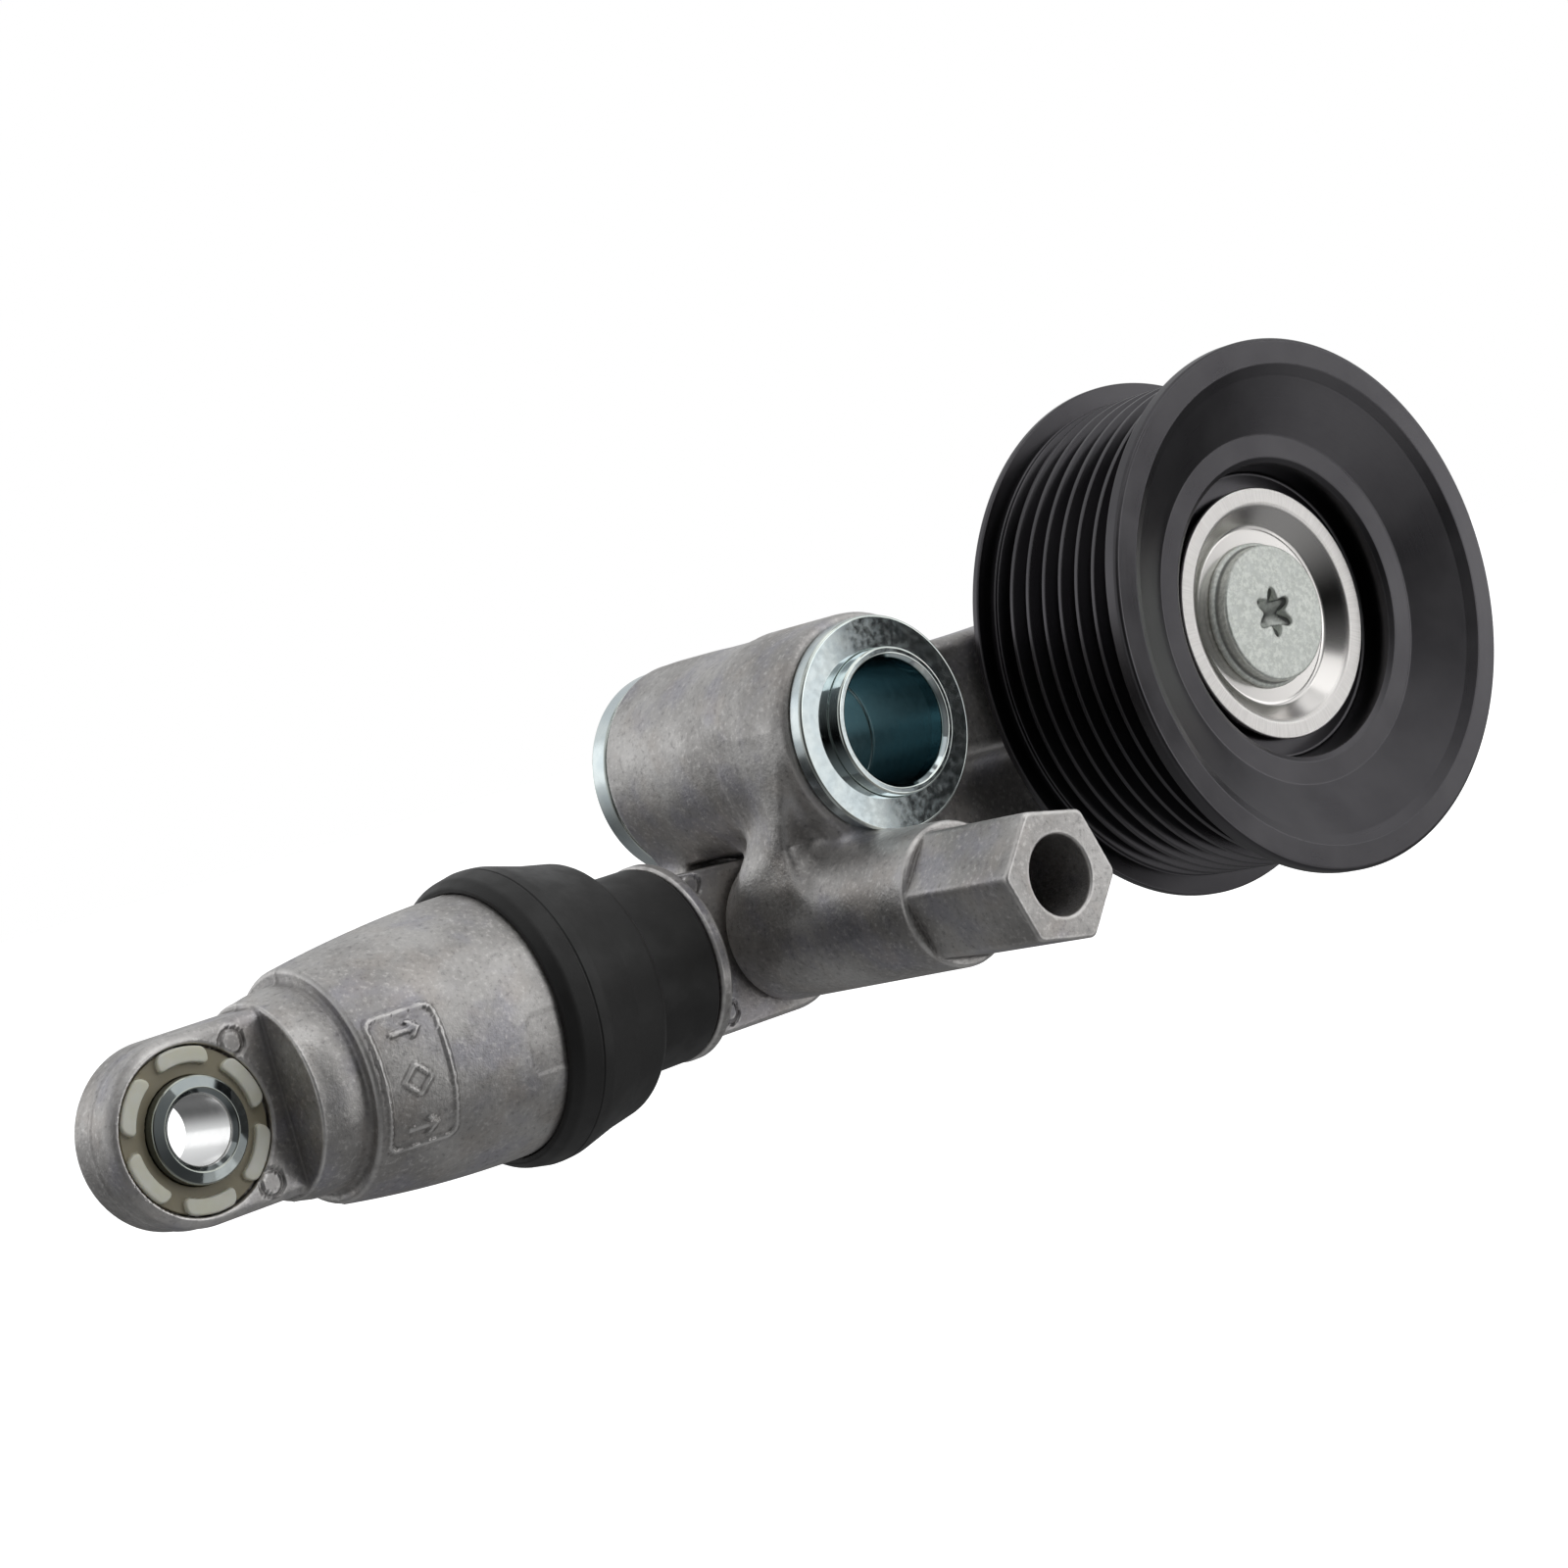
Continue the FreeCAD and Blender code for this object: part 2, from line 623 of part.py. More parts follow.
def lower_eye():
    """The nylon bush pressed in the eye, and the steel sleeve that turns in it."""
    lip = "tang_half - eye_recess_depth + seat_gap"
    bush = turned("eye_bush", LOWER_EYE, X_TO_Y, [
        ("-tang_half", "eye_sleeve_radius + running_gap"),
        ("tang_half", "eye_sleeve_radius + running_gap"),
        ("tang_half", "lobe_radius"),
        (lip, "lobe_radius"),
        (lip, "eye_core_radius - seat_gap"),
        ("-(%s)" % lip, "eye_core_radius - seat_gap"),
        ("-(%s)" % lip, "lobe_radius"),
        ("-tang_half", "lobe_radius"),
    ])
    sketch = closed_sketch(bush, "lobe_gap", "YZ_Plane", [
        ("eye_core_radius + 0.4", "-lobe_gap / 2"),
        ("lobe_radius + 1", "-lobe_gap / 2"),
        ("lobe_radius + 1", "lobe_gap / 2"),
        ("eye_core_radius + 0.4", "lobe_gap / 2"),
    ])
    notch = bush.newObject("PartDesign::Pocket", "lobe_notch")
    notch.Profile = sketch
    notch.Type = "ThroughAll"
    notch.Midplane = True
    notches = bush.newObject("PartDesign::PolarPattern", "lobe_notches")
    notches.Originals = [notch]
    axis = [feature for feature in bush.Origin.OriginFeatures if feature.Role == "X_Axis"][0]
    notches.Axis = (axis, [""])
    notches.Angle = 360
    notches.Occurrences = BUSH_LOBES
    bush.Tip = notches
    sub_part("lower_eye_bush", bush)
    half = "eye_sleeve_half"
    sleeve = turned("eye_sleeve", LOWER_EYE, X_TO_Y, [
        ("-%s + 0.5" % half, "eye_bore"),
        ("%s - 0.5" % half, "eye_bore"),
        (half, "eye_bore + 0.5"),
        (half, "eye_sleeve_radius - 0.4"),
        ("%s - 0.4" % half, "eye_sleeve_radius"),
        ("-%s + 0.4" % half, "eye_sleeve_radius"),
        ("-" + half, "eye_sleeve_radius - 0.4"),
        ("-" + half, "eye_bore + 0.5"),
    ])
    sub_part("lower_eye_sleeve", sleeve)


def strut_rod_end():
    """The cast upper half of the strut: spigot, collar plate and upper eye, with its bush."""
    shell = turned("rod_end_shell", STRUT, KEEP, [
        ("spigot_end", "rod_radius + seat_gap"),
        ("spigot_end", "spigot_radius - 0.5"),
        ("spigot_end + 0.5", "spigot_radius"),
        ("collar_plate_left", "spigot_radius"),
        ("collar_plate_left", "collar_plate_radius"),
        ("collar_plate_right", "collar_plate_radius"),
        ("collar_plate_right", "0"),
        ("rod_end", "0"),
        ("rod_end", "rod_radius + seat_gap"),
    ])
    tang = plate("upper_tang", "strut_y - tang_half", "strut_y + tang_half", [
        ("collar_plate_right - 1", "pin_z + upper_tang_half_width"),
        ("pin_x - 6", "pin_z + upper_tang_half_width - 1.8"),
        ("pin_x", "pin_z - upper_end_drop + upper_end_radius - 0.1"),
        ("pin_x", "pin_z - upper_end_drop - upper_end_radius + 0.1"),
        ("collar_plate_right - 1", "pin_z - upper_tang_half_width - 0.6"),
    ])
    end = rod("upper_end", ("pin_x", "strut_y", "pin_z - upper_end_drop"), "Y", "-tang_half", "tang_half",
              "upper_end_radius")
    eye = rod("upper_eye_hole", ("pin_x", "strut_y", "pin_z"), "Y", "-tang_half - 1", "tang_half + 1",
              "upper_bush_radius")
    sub_part("strut_rod_end", cut("rod_end", fused("rod_end_body", shell, tang, end), eye))
    bush = tube("upper_bush", ("pin_x", "strut_y", "pin_z"), X_TO_Y, "-tang_half - 0.3", "tang_half + 0.3",
                "pin_radius + running_gap", "upper_bush_radius - seat_gap")
    sub_part("upper_eye_bush", bush)


def hydraulic_cartridge():
    """Cylinder, plunger, rod and check valve, which damp the strut."""
    sub_part("cylinder_sleeve", turned("cylinder", STRUT, KEEP, [
        ("cylinder_floor + seat_gap", "cylinder_bore"),
        ("ring_groove_left", "cylinder_bore"),
        ("ring_groove_left", "cylinder_bore + 0.8"),
        ("ring_groove_right", "cylinder_bore + 0.8"),
        ("ring_groove_right", "cylinder_bore"),
        ("cylinder_end", "cylinder_bore"),
        ("cylinder_end", "cylinder_radius"),
        ("cylinder_floor + 2.4", "cylinder_radius"),
        ("cylinder_floor + 2.4", "cylinder_radius - 0.9"),
        ("cylinder_floor + 1", "cylinder_radius - 0.9"),
        ("cylinder_floor + 1", "cylinder_radius"),
        ("cylinder_floor + seat_gap", "cylinder_radius"),
    ]))
    seal = tube("cylinder_seal", STRUT, KEEP, "cylinder_floor + 1.05", "cylinder_floor + 2.35",
                "cylinder_radius - 0.88", "cylinder_radius")
    sub_part("cylinder_seal", seal)
    ring = tube("snap_ring_blank", STRUT, KEEP,
                "ring_groove_left + running_gap", "ring_groove_right - running_gap",
                "rod_radius + 0.7", "cylinder_bore + 0.75")
    gap = plate("snap_ring_gap", "strut_y - 1.5", "strut_y + 1.5", [
        ("ring_groove_left - 1", "pin_z"),
        ("ring_groove_left - 1", "pin_z - 9"),
        ("ring_groove_right + 1", "pin_z - 9"),
        ("ring_groove_right + 1", "pin_z"),
    ])
    sub_part("snap_ring", cut("snap_ring", ring, gap))
    sub_part("plunger", turned("plunger_body", STRUT, KEEP, [
        ("plunger_end", "port_radius"),
        ("plunger_end + 1", "port_radius"),
        ("plunger_end + 2.3", "plunger_bore"),
        ("plunger_shoulder - 3", "plunger_bore"),
        ("plunger_shoulder - 3", "0"),
        ("plunger_shoulder", "0"),
        ("plunger_shoulder", "cylinder_bore - running_gap"),
        ("plunger_end + 0.5", "cylinder_bore - running_gap"),
        ("plunger_end", "cylinder_bore - 0.6"),
    ]))
    blank = rod("rod_blank", STRUT, "X", "plunger_shoulder + seat_gap", "rod_end - seat_gap", "rod_radius")
    sub_part("piston_rod", blank)
    sub_part("check_valve_cap", turned("valve_cap", STRUT, KEEP, [
        ("cap_end", "1"),
        ("cap_end + cap_wall", "1"),
        ("cap_end + cap_wall", "cap_radius - cap_wall"),
        ("plunger_end - seat_gap", "cap_radius - cap_wall"),
        ("plunger_end - seat_gap", "cap_radius + 1.7"),
        ("plunger_end - cap_wall", "cap_radius + 1.7"),
        ("plunger_end - cap_wall", "cap_radius"),
        ("cap_end", "cap_radius"),
    ]))
    ball = doc.addObject("Part::Sphere", "valve_ball")
    bind(ball, Radius="check_ball_radius")
    sub_part("check_ball", place(ball, along(STRUT, "X", "check_ball_x"), KEEP))
    sub_part("check_valve_spring", coil(
        "valve_spring",
        "cap_end + cap_wall + valve_wire_radius + seat_gap",
        "check_ball_x - check_ball_radius - running_gap",
        "valve_spring_turns",
        "valve_spring_radius",
        "valve_wire_radius",
    ))


def main_spring():
    """The compression spring that pushes the strut out against the belt's pull."""
    sub_part("main_spring", coil(
        "tension_spring",
        "spring_well_floor + spring_wire_radius + running_gap",
        "spigot_end - spring_wire_radius - running_gap",
        "spring_turns",
        "spring_radius",
        "spring_wire_radius",
    ))


def boot():
    """The rubber boot from the housing's mouth to the rod end's spigot."""
    inner = "spigot_radius + 0.1"
    sub_part("boot", turned("boot_shell", STRUT, KEEP, [
        ("boot_lip", "mouth_radius + 0.1"),
        ("mouth_x + 0.3", "mouth_radius + 0.1"),
        ("mouth_x + 1", "mouth_radius - 0.6"),
        ("mouth_x + 8", "mouth_radius - 1.9"),
        ("mouth_x + 10.6", "spigot_radius + 2"),
        ("spigot_end - 0.6", inner),
        ("collar_plate_left - 0.1", inner),
        ("collar_plate_left - 0.1", inner + " + boot_wall"),
        ("spigot_end + 0.6", inner + " + boot_wall"),
        ("spigot_end - 0.4", "spigot_radius + 3"),
        ("spigot_end - 1", "mouth_radius - 1.4"),
        ("spigot_end - 2.5", "mouth_radius"),
        ("mouth_x + 5", "mouth_radius + 1"),
        ("boot_crown_x + 2", "boot_crown_radius - 0.25"),
        ("boot_crown_x", "boot_crown_radius"),
        ("boot_crown_x - 2.2", "boot_crown_radius - 0.4"),
        ("boot_lip + 0.4", "boot_crown_radius - 1.2"),
        ("boot_lip", "mouth_radius + 0.9"),
    ]))


def check_document():
    """Stops on any object that failed, and on any sub-part that isn't one valid set of solids."""
    for obj in doc.Objects:
        if "Invalid" in obj.State or "Error" in obj.State:
            raise RuntimeError("%s failed: %s" % (obj.Label, obj.State))
    for part in sub_parts:
        if part.Shape.isNull() or not part.Shape.isValid() or not part.Shape.Solids:
            raise RuntimeError("%s has no valid solid" % part.Label)


def write_sub_parts():
    os.makedirs("parts", exist_ok=True)
    for part in sub_parts:
        part.Shape.exportStep("parts/%s.step" % part.Label)
        box = part.Shape.BoundBox
        print("%-20s %d solid(s) %9.1f mm3  x %7.2f %7.2f  y %7.2f %7.2f  z %7.2f %7.2f" % (
            part.Label, len(part.Shape.Solids), part.Shape.Volume,
            box.XMin, box.XMax, box.YMin, box.YMax, box.ZMin, box.ZMax))


pivot()
arm()
clevis_fasteners()
pulley()
bearing()
pulley_bolt()
strut_housing()
lower_eye()
strut_rod_end()
hydraulic_cartridge()
main_spring()
boot()
doc.recompute()
check_document()
write_sub_parts()
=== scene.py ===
import json
import math

import bpy
import numpy as np
from mathutils import Matrix, Vector


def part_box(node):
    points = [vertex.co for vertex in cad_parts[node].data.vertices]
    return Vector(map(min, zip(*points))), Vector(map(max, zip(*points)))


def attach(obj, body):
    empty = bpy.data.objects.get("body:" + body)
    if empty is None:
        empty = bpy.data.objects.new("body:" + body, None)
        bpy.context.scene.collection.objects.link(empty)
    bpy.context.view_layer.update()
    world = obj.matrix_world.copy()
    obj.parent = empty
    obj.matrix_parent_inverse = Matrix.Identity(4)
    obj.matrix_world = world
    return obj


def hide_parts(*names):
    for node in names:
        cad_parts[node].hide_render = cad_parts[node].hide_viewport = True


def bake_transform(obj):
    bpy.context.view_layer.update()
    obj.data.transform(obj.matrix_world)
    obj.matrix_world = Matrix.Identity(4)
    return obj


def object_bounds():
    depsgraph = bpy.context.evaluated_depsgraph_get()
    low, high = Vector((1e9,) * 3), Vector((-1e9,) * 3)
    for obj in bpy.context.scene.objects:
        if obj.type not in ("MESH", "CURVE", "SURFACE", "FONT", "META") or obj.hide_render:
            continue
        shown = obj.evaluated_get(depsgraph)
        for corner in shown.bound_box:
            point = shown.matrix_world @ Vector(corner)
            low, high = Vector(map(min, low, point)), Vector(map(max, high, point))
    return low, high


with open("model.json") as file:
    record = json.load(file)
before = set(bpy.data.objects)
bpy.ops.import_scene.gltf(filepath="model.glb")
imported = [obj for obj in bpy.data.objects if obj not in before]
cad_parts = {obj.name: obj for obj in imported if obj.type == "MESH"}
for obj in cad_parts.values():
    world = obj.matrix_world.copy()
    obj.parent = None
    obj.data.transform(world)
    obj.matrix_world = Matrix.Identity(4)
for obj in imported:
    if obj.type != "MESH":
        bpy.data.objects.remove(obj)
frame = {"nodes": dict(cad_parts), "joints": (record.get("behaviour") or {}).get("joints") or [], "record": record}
cad_low, cad_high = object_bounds()

# Shapes are worked out in millimetres in the row frame; MM turns them into Blender's metres.
MM = 0.001
X, Y = 0, 1
JOINTS = {joint["name"]: joint for joint in frame["joints"]}


def joint_point(name):
    """Where a hinge is, in millimetres."""
    return np.array(JOINTS[name]["pos_m"]) / MM


PIVOT = joint_point("arm_swing")
PIN = joint_point("strut_tilt")
PULLEY = joint_point("pulley_spin") * (1, 0, 1)
EYE = joint_point("lower_eye_turn")
STRUT = PIN * (0, 1, 1)


# ------------------------------------------------------------------ shapes as signed distances

def along_across(points, centre, axis):
    """Place along an axis, and distance from the line through centre along it."""
    across = np.delete(points - centre, axis, 1)
    return points[:, axis], np.hypot(across[:, 0], across[:, 1])


def rectangle(u, v, half_u, half_v, rounding):
    """Distance to a rectangle with rounded corners."""
    out_u = np.abs(u) - half_u + rounding
    out_v = np.abs(v) - half_v + rounding
    outside = np.hypot(np.maximum(out_u, 0), np.maximum(out_v, 0))
    return outside + np.minimum(np.maximum(out_u, out_v), 0) - rounding


def slab(across, along, start, end, rounding=0.0):
    """Gives an outline, as a distance, a thickness from start to end."""
    far = 1000.0
    return rectangle(along - (start + end) / 2, across + far, (end - start) / 2, far, rounding)


def disc(points, centre, axis, start, end, radius, rounding=0.0):
    """A cylinder between two places on an axis; its radius may be one number per point."""
    along, across = along_across(points, centre, axis)
    return slab(across - radius, along, start, end, rounding)


def outline_distance(u, v, corners):
    """Signed distance to a closed outline in a plane."""
    nearest = np.full(u.shape, np.inf)
    sign = np.ones(u.shape)
    for (a_u, a_v), (b_u, b_v) in zip(corners, corners[1:] + corners[:1]):
        edge_u, edge_v = b_u - a_u, b_v - a_v
        from_u, from_v = u - a_u, v - a_v
        share = np.clip((from_u * edge_u + from_v * edge_v) / (edge_u**2 + edge_v**2), 0, 1)
        nearest = np.minimum(nearest, (from_u - edge_u * share) ** 2 + (from_v - edge_v * share) ** 2)
        left = edge_u * from_v > edge_v * from_u
        crosses = ((v >= a_v) & (v < b_v) & left) | ((v < a_v) & (v >= b_v) & ~left)
        sign = np.where(crosses, -sign, sign)
    return sign * np.sqrt(nearest)


def bar(points, a, b, radius_a, radius_b, front, rear, rounding):
    """A plate between two places on Y with round ends about a and b, which are (x, z) pairs."""
    span = np.subtract(b, a)
    from_a = points[:, ::2] - a
    share = np.clip(from_a @ span / (span @ span), 0, 1)
    across = np.hypot(*(from_a - share[:, None] * span).T) - radius_a - (radius_b - radius_a) * share
    return slab(across, points[:, Y], front, rear, rounding)


def joined(a, b, fillet):
    """Union with a soft fillet."""
    near = np.maximum(fillet - np.abs(a - b), 0) / fillet
    return np.minimum(a, b) - near**2 * fillet / 4


def cut_away(a, b, edge):
    """a without b, with a rounded edge."""
    return -joined(-a, b, edge)


def smooth_step(value, start, end):
    """0 before start, 1 after end, and an easy passage between them."""
    share = np.clip((value - start) / (end - start), 0, 1)
    return share * share * (3 - 2 * share)


# ------------------------------------------------------------------ meshes from those shapes

def spread(stops):
    """Sample places along one axis; stops are (place, step from there on), and a last place."""
    places = []
    for (start, step), (end, _) in zip(stops, stops[1:]):
        count = round((end - start) / step)
        places.append(start + (end - start) * np.arange(count) / count)
    return np.concatenate(places + [[stops[-1][0]]])


def sampled(distance, ticks):
    """Distances on a grid; blocks that are far from the surface get one value each."""
    block, chunks = 4, 24
    shape = [len(t) for t in ticks]
    middles = [t[np.minimum(np.arange(0, len(t), block) + block // 2, len(t) - 1)] for t in ticks]
    grid = np.stack(np.meshgrid(*middles, indexing="ij"), -1)
    values = distance(grid.reshape(-1, 3)).reshape(grid.shape[:3])
    for axis, length in enumerate(shape):
        values = np.take(np.repeat(values, block, axis), np.arange(length), axis)
    reach = 1.4 * block * np.linalg.norm([np.diff(t).max() for t in ticks])
    near = np.argwhere(np.abs(values) < reach / 2 + 1)
    points = np.column_stack([t[near[:, axis]] for axis, t in enumerate(ticks)])
    values[tuple(near.T)] = np.concatenate([distance(part) for part in np.array_split(points, chunks)])
    return values


def surface_net(values, ticks):
    """Vertices and quads where gridded distances pass through zero."""
    inside = values < 0
    cells = [n - 1 for n in values.shape]
    total = np.zeros(cells + [3])
    count = np.zeros(cells, int)
    crossings = []
    for axis in range(3):
        lower, upper = [slice(None)] * 3, [slice(None)] * 3
        lower[axis], upper[axis] = slice(None, -1), slice(1, None)
        edges = np.argwhere(inside[tuple(lower)] != inside[tuple(upper)])
        here = values[tuple(lower)][tuple(edges.T)]
        there = values[tuple(upper)][tuple(edges.T)]
        spot = edges.astype(float)
        spot[:, axis] += here / (here - there)
        one, two = [a for a in range(3) if a != axis]
        around = []
        for back_one, back_two in ((0, 0), (1, 0), (1, 1), (0, 1)):
            cell = edges.copy()
            cell[:, one] -= back_one
            cell[:, two] -= back_two
            around.append(cell)
            np.add.at(total, tuple(cell.T), spot)
            np.add.at(count, tuple(cell.T), 1)
        crossings.append((around, (here < 0) != (axis == 1)))
    used = count > 0
    number = np.full(cells, -1)
    number[used] = np.arange(used.sum())
    spots = total[used] / count[used][:, None]
    vertices = np.column_stack([np.interp(spots[:, a], np.arange(len(t)), t) for a, t in enumerate(ticks)])
    quads = []
    for around, keep in crossings:
        corners = np.column_stack([number[tuple(cell.T)] for cell in around])
        corners[~keep] = corners[~keep][:, ::-1]
        quads.append(corners)
    return vertices, np.vstack(quads)


def gradient(distance, points, reach=0.02):
    """How a distance changes with each coordinate."""
    slopes = []
    for axis in range(3):
        shift = np.zeros(3)
        shift[axis] = reach
        slopes.append((distance(points + shift) - distance(points - shift)) / (2 * reach))
    return np.column_stack(slopes)


def settled(distance, vertices):
    """Vertices moved onto the surface, by at most the longest step in each round."""
    rounds, longest, flattest = 3, 0.5, 0.2
    for _ in range(rounds):
        slope = gradient(distance, vertices)
        move = (distance(vertices) / np.maximum((slope**2).sum(1), flattest))[:, None] * slope
        reach = np.linalg.norm(move, axis=1, keepdims=True)
        vertices = vertices - move * np.minimum(1, longest / np.maximum(reach, 1e-9))
    return vertices


def relaxed(vertices, quads):
    """Vertices half way to the average of their neighbours."""
    total = np.zeros_like(vertices)
    count = np.zeros(len(vertices))
    for a, b in ((0, 1), (1, 2), (2, 3), (3, 0)):
        for here, there in ((quads[:, a], quads[:, b]), (quads[:, b], quads[:, a])):
            np.add.at(total, here, vertices[there])
            np.add.at(count, here, 1)
    return (vertices + total / count[:, None]) / 2


def roundness(distance, vertices, reach=0.6):
    """How sharply the surface turns at each vertex: positive on edges, negative in hollows."""
    total = np.zeros(len(vertices))
    for axis in range(3):
        shift = np.zeros(3)
        shift[axis] = reach
        total += distance(vertices + shift) + distance(vertices - shift)
    return (total - 6 * distance(vertices)) / reach


def mesh_piece(name, vertices, faces, normals, wear=None):
    """A smooth-shaded object from millimetre vertices with their normals."""
    mesh = bpy.data.meshes.new(name)
    mesh.from_pydata((vertices * MM).tolist(), [], [list(face) for face in faces])
    mesh.polygons.foreach_set("use_smooth", [True] * len(mesh.polygons))
    mesh.normals_split_custom_set_from_vertices(normals.tolist())
    if wear is not None:
        mesh.attributes.new("wear", "FLOAT", "POINT").data.foreach_set("value", wear)
    piece = bpy.data.objects.new(name, mesh)
    bpy.context.scene.collection.objects.link(piece)
    return piece


def sculpted(name, distance, *stops):
    """A piece whose surface is where a signed distance is zero; stops are given to spread."""
    ticks = [spread(s) for s in stops]
    vertices, quads = surface_net(sampled(distance, ticks), ticks)
    for _ in range(2):
        vertices = settled(distance, relaxed(vertices, quads))
    slope = gradient(distance, vertices)
    normals = slope / np.linalg.norm(slope, axis=1, keepdims=True)
    return mesh_piece(name, vertices, quads, normals, roundness(distance, vertices))


def rounded(corners, radius):
    """An outline's points and normals with its corners rounded; a corner may hold its own radius."""
    straight, arc_step, most_of_side = 0.01, math.radians(14), 0.48
    spots = [np.array(corner[:2], float) for corner in corners]
    radii = [corner[2] if len(corner) > 2 else radius for corner in corners]
    area = sum(a[0] * b[1] - b[0] * a[1] for a, b in zip(spots, spots[1:] + spots[:1]))
    side = math.copysign(1, area)
    points, normals = [], []
    for i, spot in enumerate(spots):
        before, after = spot - spots[i - 1], spots[(i + 1) % len(spots)] - spot
        shorter = min(np.linalg.norm(before), np.linalg.norm(after))
        heading = math.atan2(before[1], before[0])
        turn = (math.atan2(after[1], after[0]) - heading + math.pi) % (2 * math.pi) - math.pi
        if abs(turn) < straight:
            points.append(spot)
            normals.append(side * np.array([math.sin(heading), -math.cos(heading)]))
            continue
        bend = min(radii[i], most_of_side * shorter / math.tan(abs(turn) / 2))
        start = spot - before / np.linalg.norm(before) * bend * math.tan(abs(turn) / 2)
        hand = math.copysign(1, turn)
        centre = start + hand * bend * np.array([-math.sin(heading), math.cos(heading)])
        steps = max(2, math.ceil(abs(turn) / arc_step))
        for step in range(steps + 1):
            angle = heading + turn * step / steps
            outwards = np.array([math.sin(angle), -math.cos(angle)])
            points.append(centre + hand * bend * outwards)
            normals.append(side * outwards)
    return np.array(points), np.array(normals)


def lathe(name, centre, axis, corners, radius=0.25, segments=224, wear_reach=1.0):
    """A turned piece; its outline holds (along, radius) corners, each rounded."""
    points, normals = rounded(corners, radius)
    angles = np.arange(segments) * 2 * math.pi / segments
    sine, cosine = np.sin(angles), np.cos(angles)
    count = len(points)

    def swept(pairs):
        along = np.tile(pairs[:, 0], segments)
        one = np.outer(cosine, pairs[:, 1]).ravel()
        two = np.outer(sine, pairs[:, 1]).ravel()
        return np.column_stack([along, one, two] if axis == X else [one, along, two])

    offset = np.array(centre) * ((0, 1, 1) if axis == X else (1, 0, 1))
    i, j = np.meshgrid(np.arange(segments), np.arange(count), indexing="ij")
    next_i, next_j = (i + 1) % segments, (j + 1) % count
    faces = np.stack([i * count + j, i * count + next_j, next_i * count + next_j, next_i * count + j], -1)
    faces = faces.reshape(-1, 4)
    area = sum(a[0] * b[1] - b[0] * a[1] for a, b in zip(points, np.roll(points, -1, 0)))
    if (area > 0) != (axis == X):
        faces = faces[:, ::-1]
    edge = np.linalg.norm(np.roll(normals, -1, 0) - np.roll(normals, 1, 0), axis=1)
    wear = np.tile(np.clip(edge * wear_reach, 0, 1), segments)
    return mesh_piece(name, swept(points) + offset, faces, swept(normals), wear)


# ------------------------------------------------------------------ the cast pieces

# Depths are places on Y, heights are places on Z, and the front is the lower Y.
FAR_FRONT, FAR_REAR = -60, 60
HUB_FRONT, HUB_REAR = 2.8, 44.4
HUB_RADIUS, HUB_SWELL_RADIUS, HUB_SWELL_REAR = 15.65, 15.9, 19.0
HEX_FRONT, HEX_REAR = -32.8, -12.7
HEX_FLATS = 17.0
HEX_TURN = math.radians(11.2)
BARREL_REAR, BARREL_RADIUS, BARREL_TAPER = 25.3, 10.0, 0.7
WEB_FRONT, WEB_REAR, WEB_SLOPE, WEB_SLOPE_LENGTH = 4.4, 21.0, 0.36, 13
WEB_BOTTOM = -18.5
SCOOP_CENTRE, SCOOP_RADIUS = (-28.5, 22.5, -4.5), 16.5
EAR_FRONT, EAR_REAR, EAR_RADIUS = 37.3, 44.6, 10.7
BEAM_FRONT, BEAM_REAR = 29.8, 41.0
BEAM_DROP, BEAM_HALF, BEAM_FLARE = -1.8, 9.2, 3.4
BOSS_RADIUS, BOSS_STEP_RADIUS, BOSS_STEP_FRONT = 13.0, 11.8, 20.0
BEARING_SEAT_FRONT, BEARING_SEAT_RADIUS = 8.4, 8.48
POCKET_START, POCKET_END, POCKET_FLOOR, POCKET_WALL = 19.5, 69.5, 34.8, 3.4
ARM_BORES = (
    # centre, front, rear, radius
    (PIVOT, -9, FAR_REAR, 11.85),
    (PIN, FAR_FRONT, 2.0, 5.35),
    (PIN, 1.0, FAR_REAR, 5.0),
    (PULLEY, 0, FAR_REAR, 5.02),
)


def hexagon(points):
    """The release hex in front of the clevis barrel."""
    x, z = points[:, 0] - PIN[0], points[:, 2] - PIN[2]
    across = np.full(len(points), -np.inf)
    for k in range(3):
        angle = math.radians(30 + 60 * k) - HEX_TURN
        from_flat = np.abs(x * math.cos(angle) + z * math.sin(angle)) - HEX_FLATS / 2
        across = -joined(-across, -from_flat, 0.7)
    return slab(across, points[:, Y], HEX_FRONT, HEX_REAR + 0.5, 0.45)


def hub_and_barrel(points):
    """The hub, the clevis barrel with its hex, and the web that joins them."""
    y, z = points[:, 1], points[:, 2]
    hub = disc(points, PIVOT, Y, HUB_FRONT, HUB_REAR, HUB_RADIUS, 0.7)
    hub = joined(hub, disc(points, PIVOT, Y, HUB_FRONT, HUB_SWELL_REAR, HUB_SWELL_RADIUS, 0.8), 0.8)
    web = bar(points, (0, -1.5), (PIN[0], PIN[2]), 16.6, 9.6, 0.0, WEB_REAR, 1.0)
    web_front = WEB_FRONT + WEB_SLOPE * np.clip(-z, 0, WEB_SLOPE_LENGTH)
    web = cut_away(web, (y - web_front) * 0.93, 1.4)
    web = cut_away(web, z - WEB_BOTTOM, 2.0)
    web = cut_away(web, np.linalg.norm(points - SCOOP_CENTRE, axis=1) - SCOOP_RADIUS, 2.4)
    taper = np.clip((y - HEX_REAR) / (BARREL_REAR - HEX_REAR), 0, 1)
    radius = BARREL_RADIUS + BARREL_TAPER * taper
    barrel = disc(points, PIN, Y, HEX_REAR, BARREL_REAR, radius, 0.7)
    solid = joined(joined(hub, web, 2.0), barrel, 4.5)
    return joined(solid, hexagon(points), 0.3)


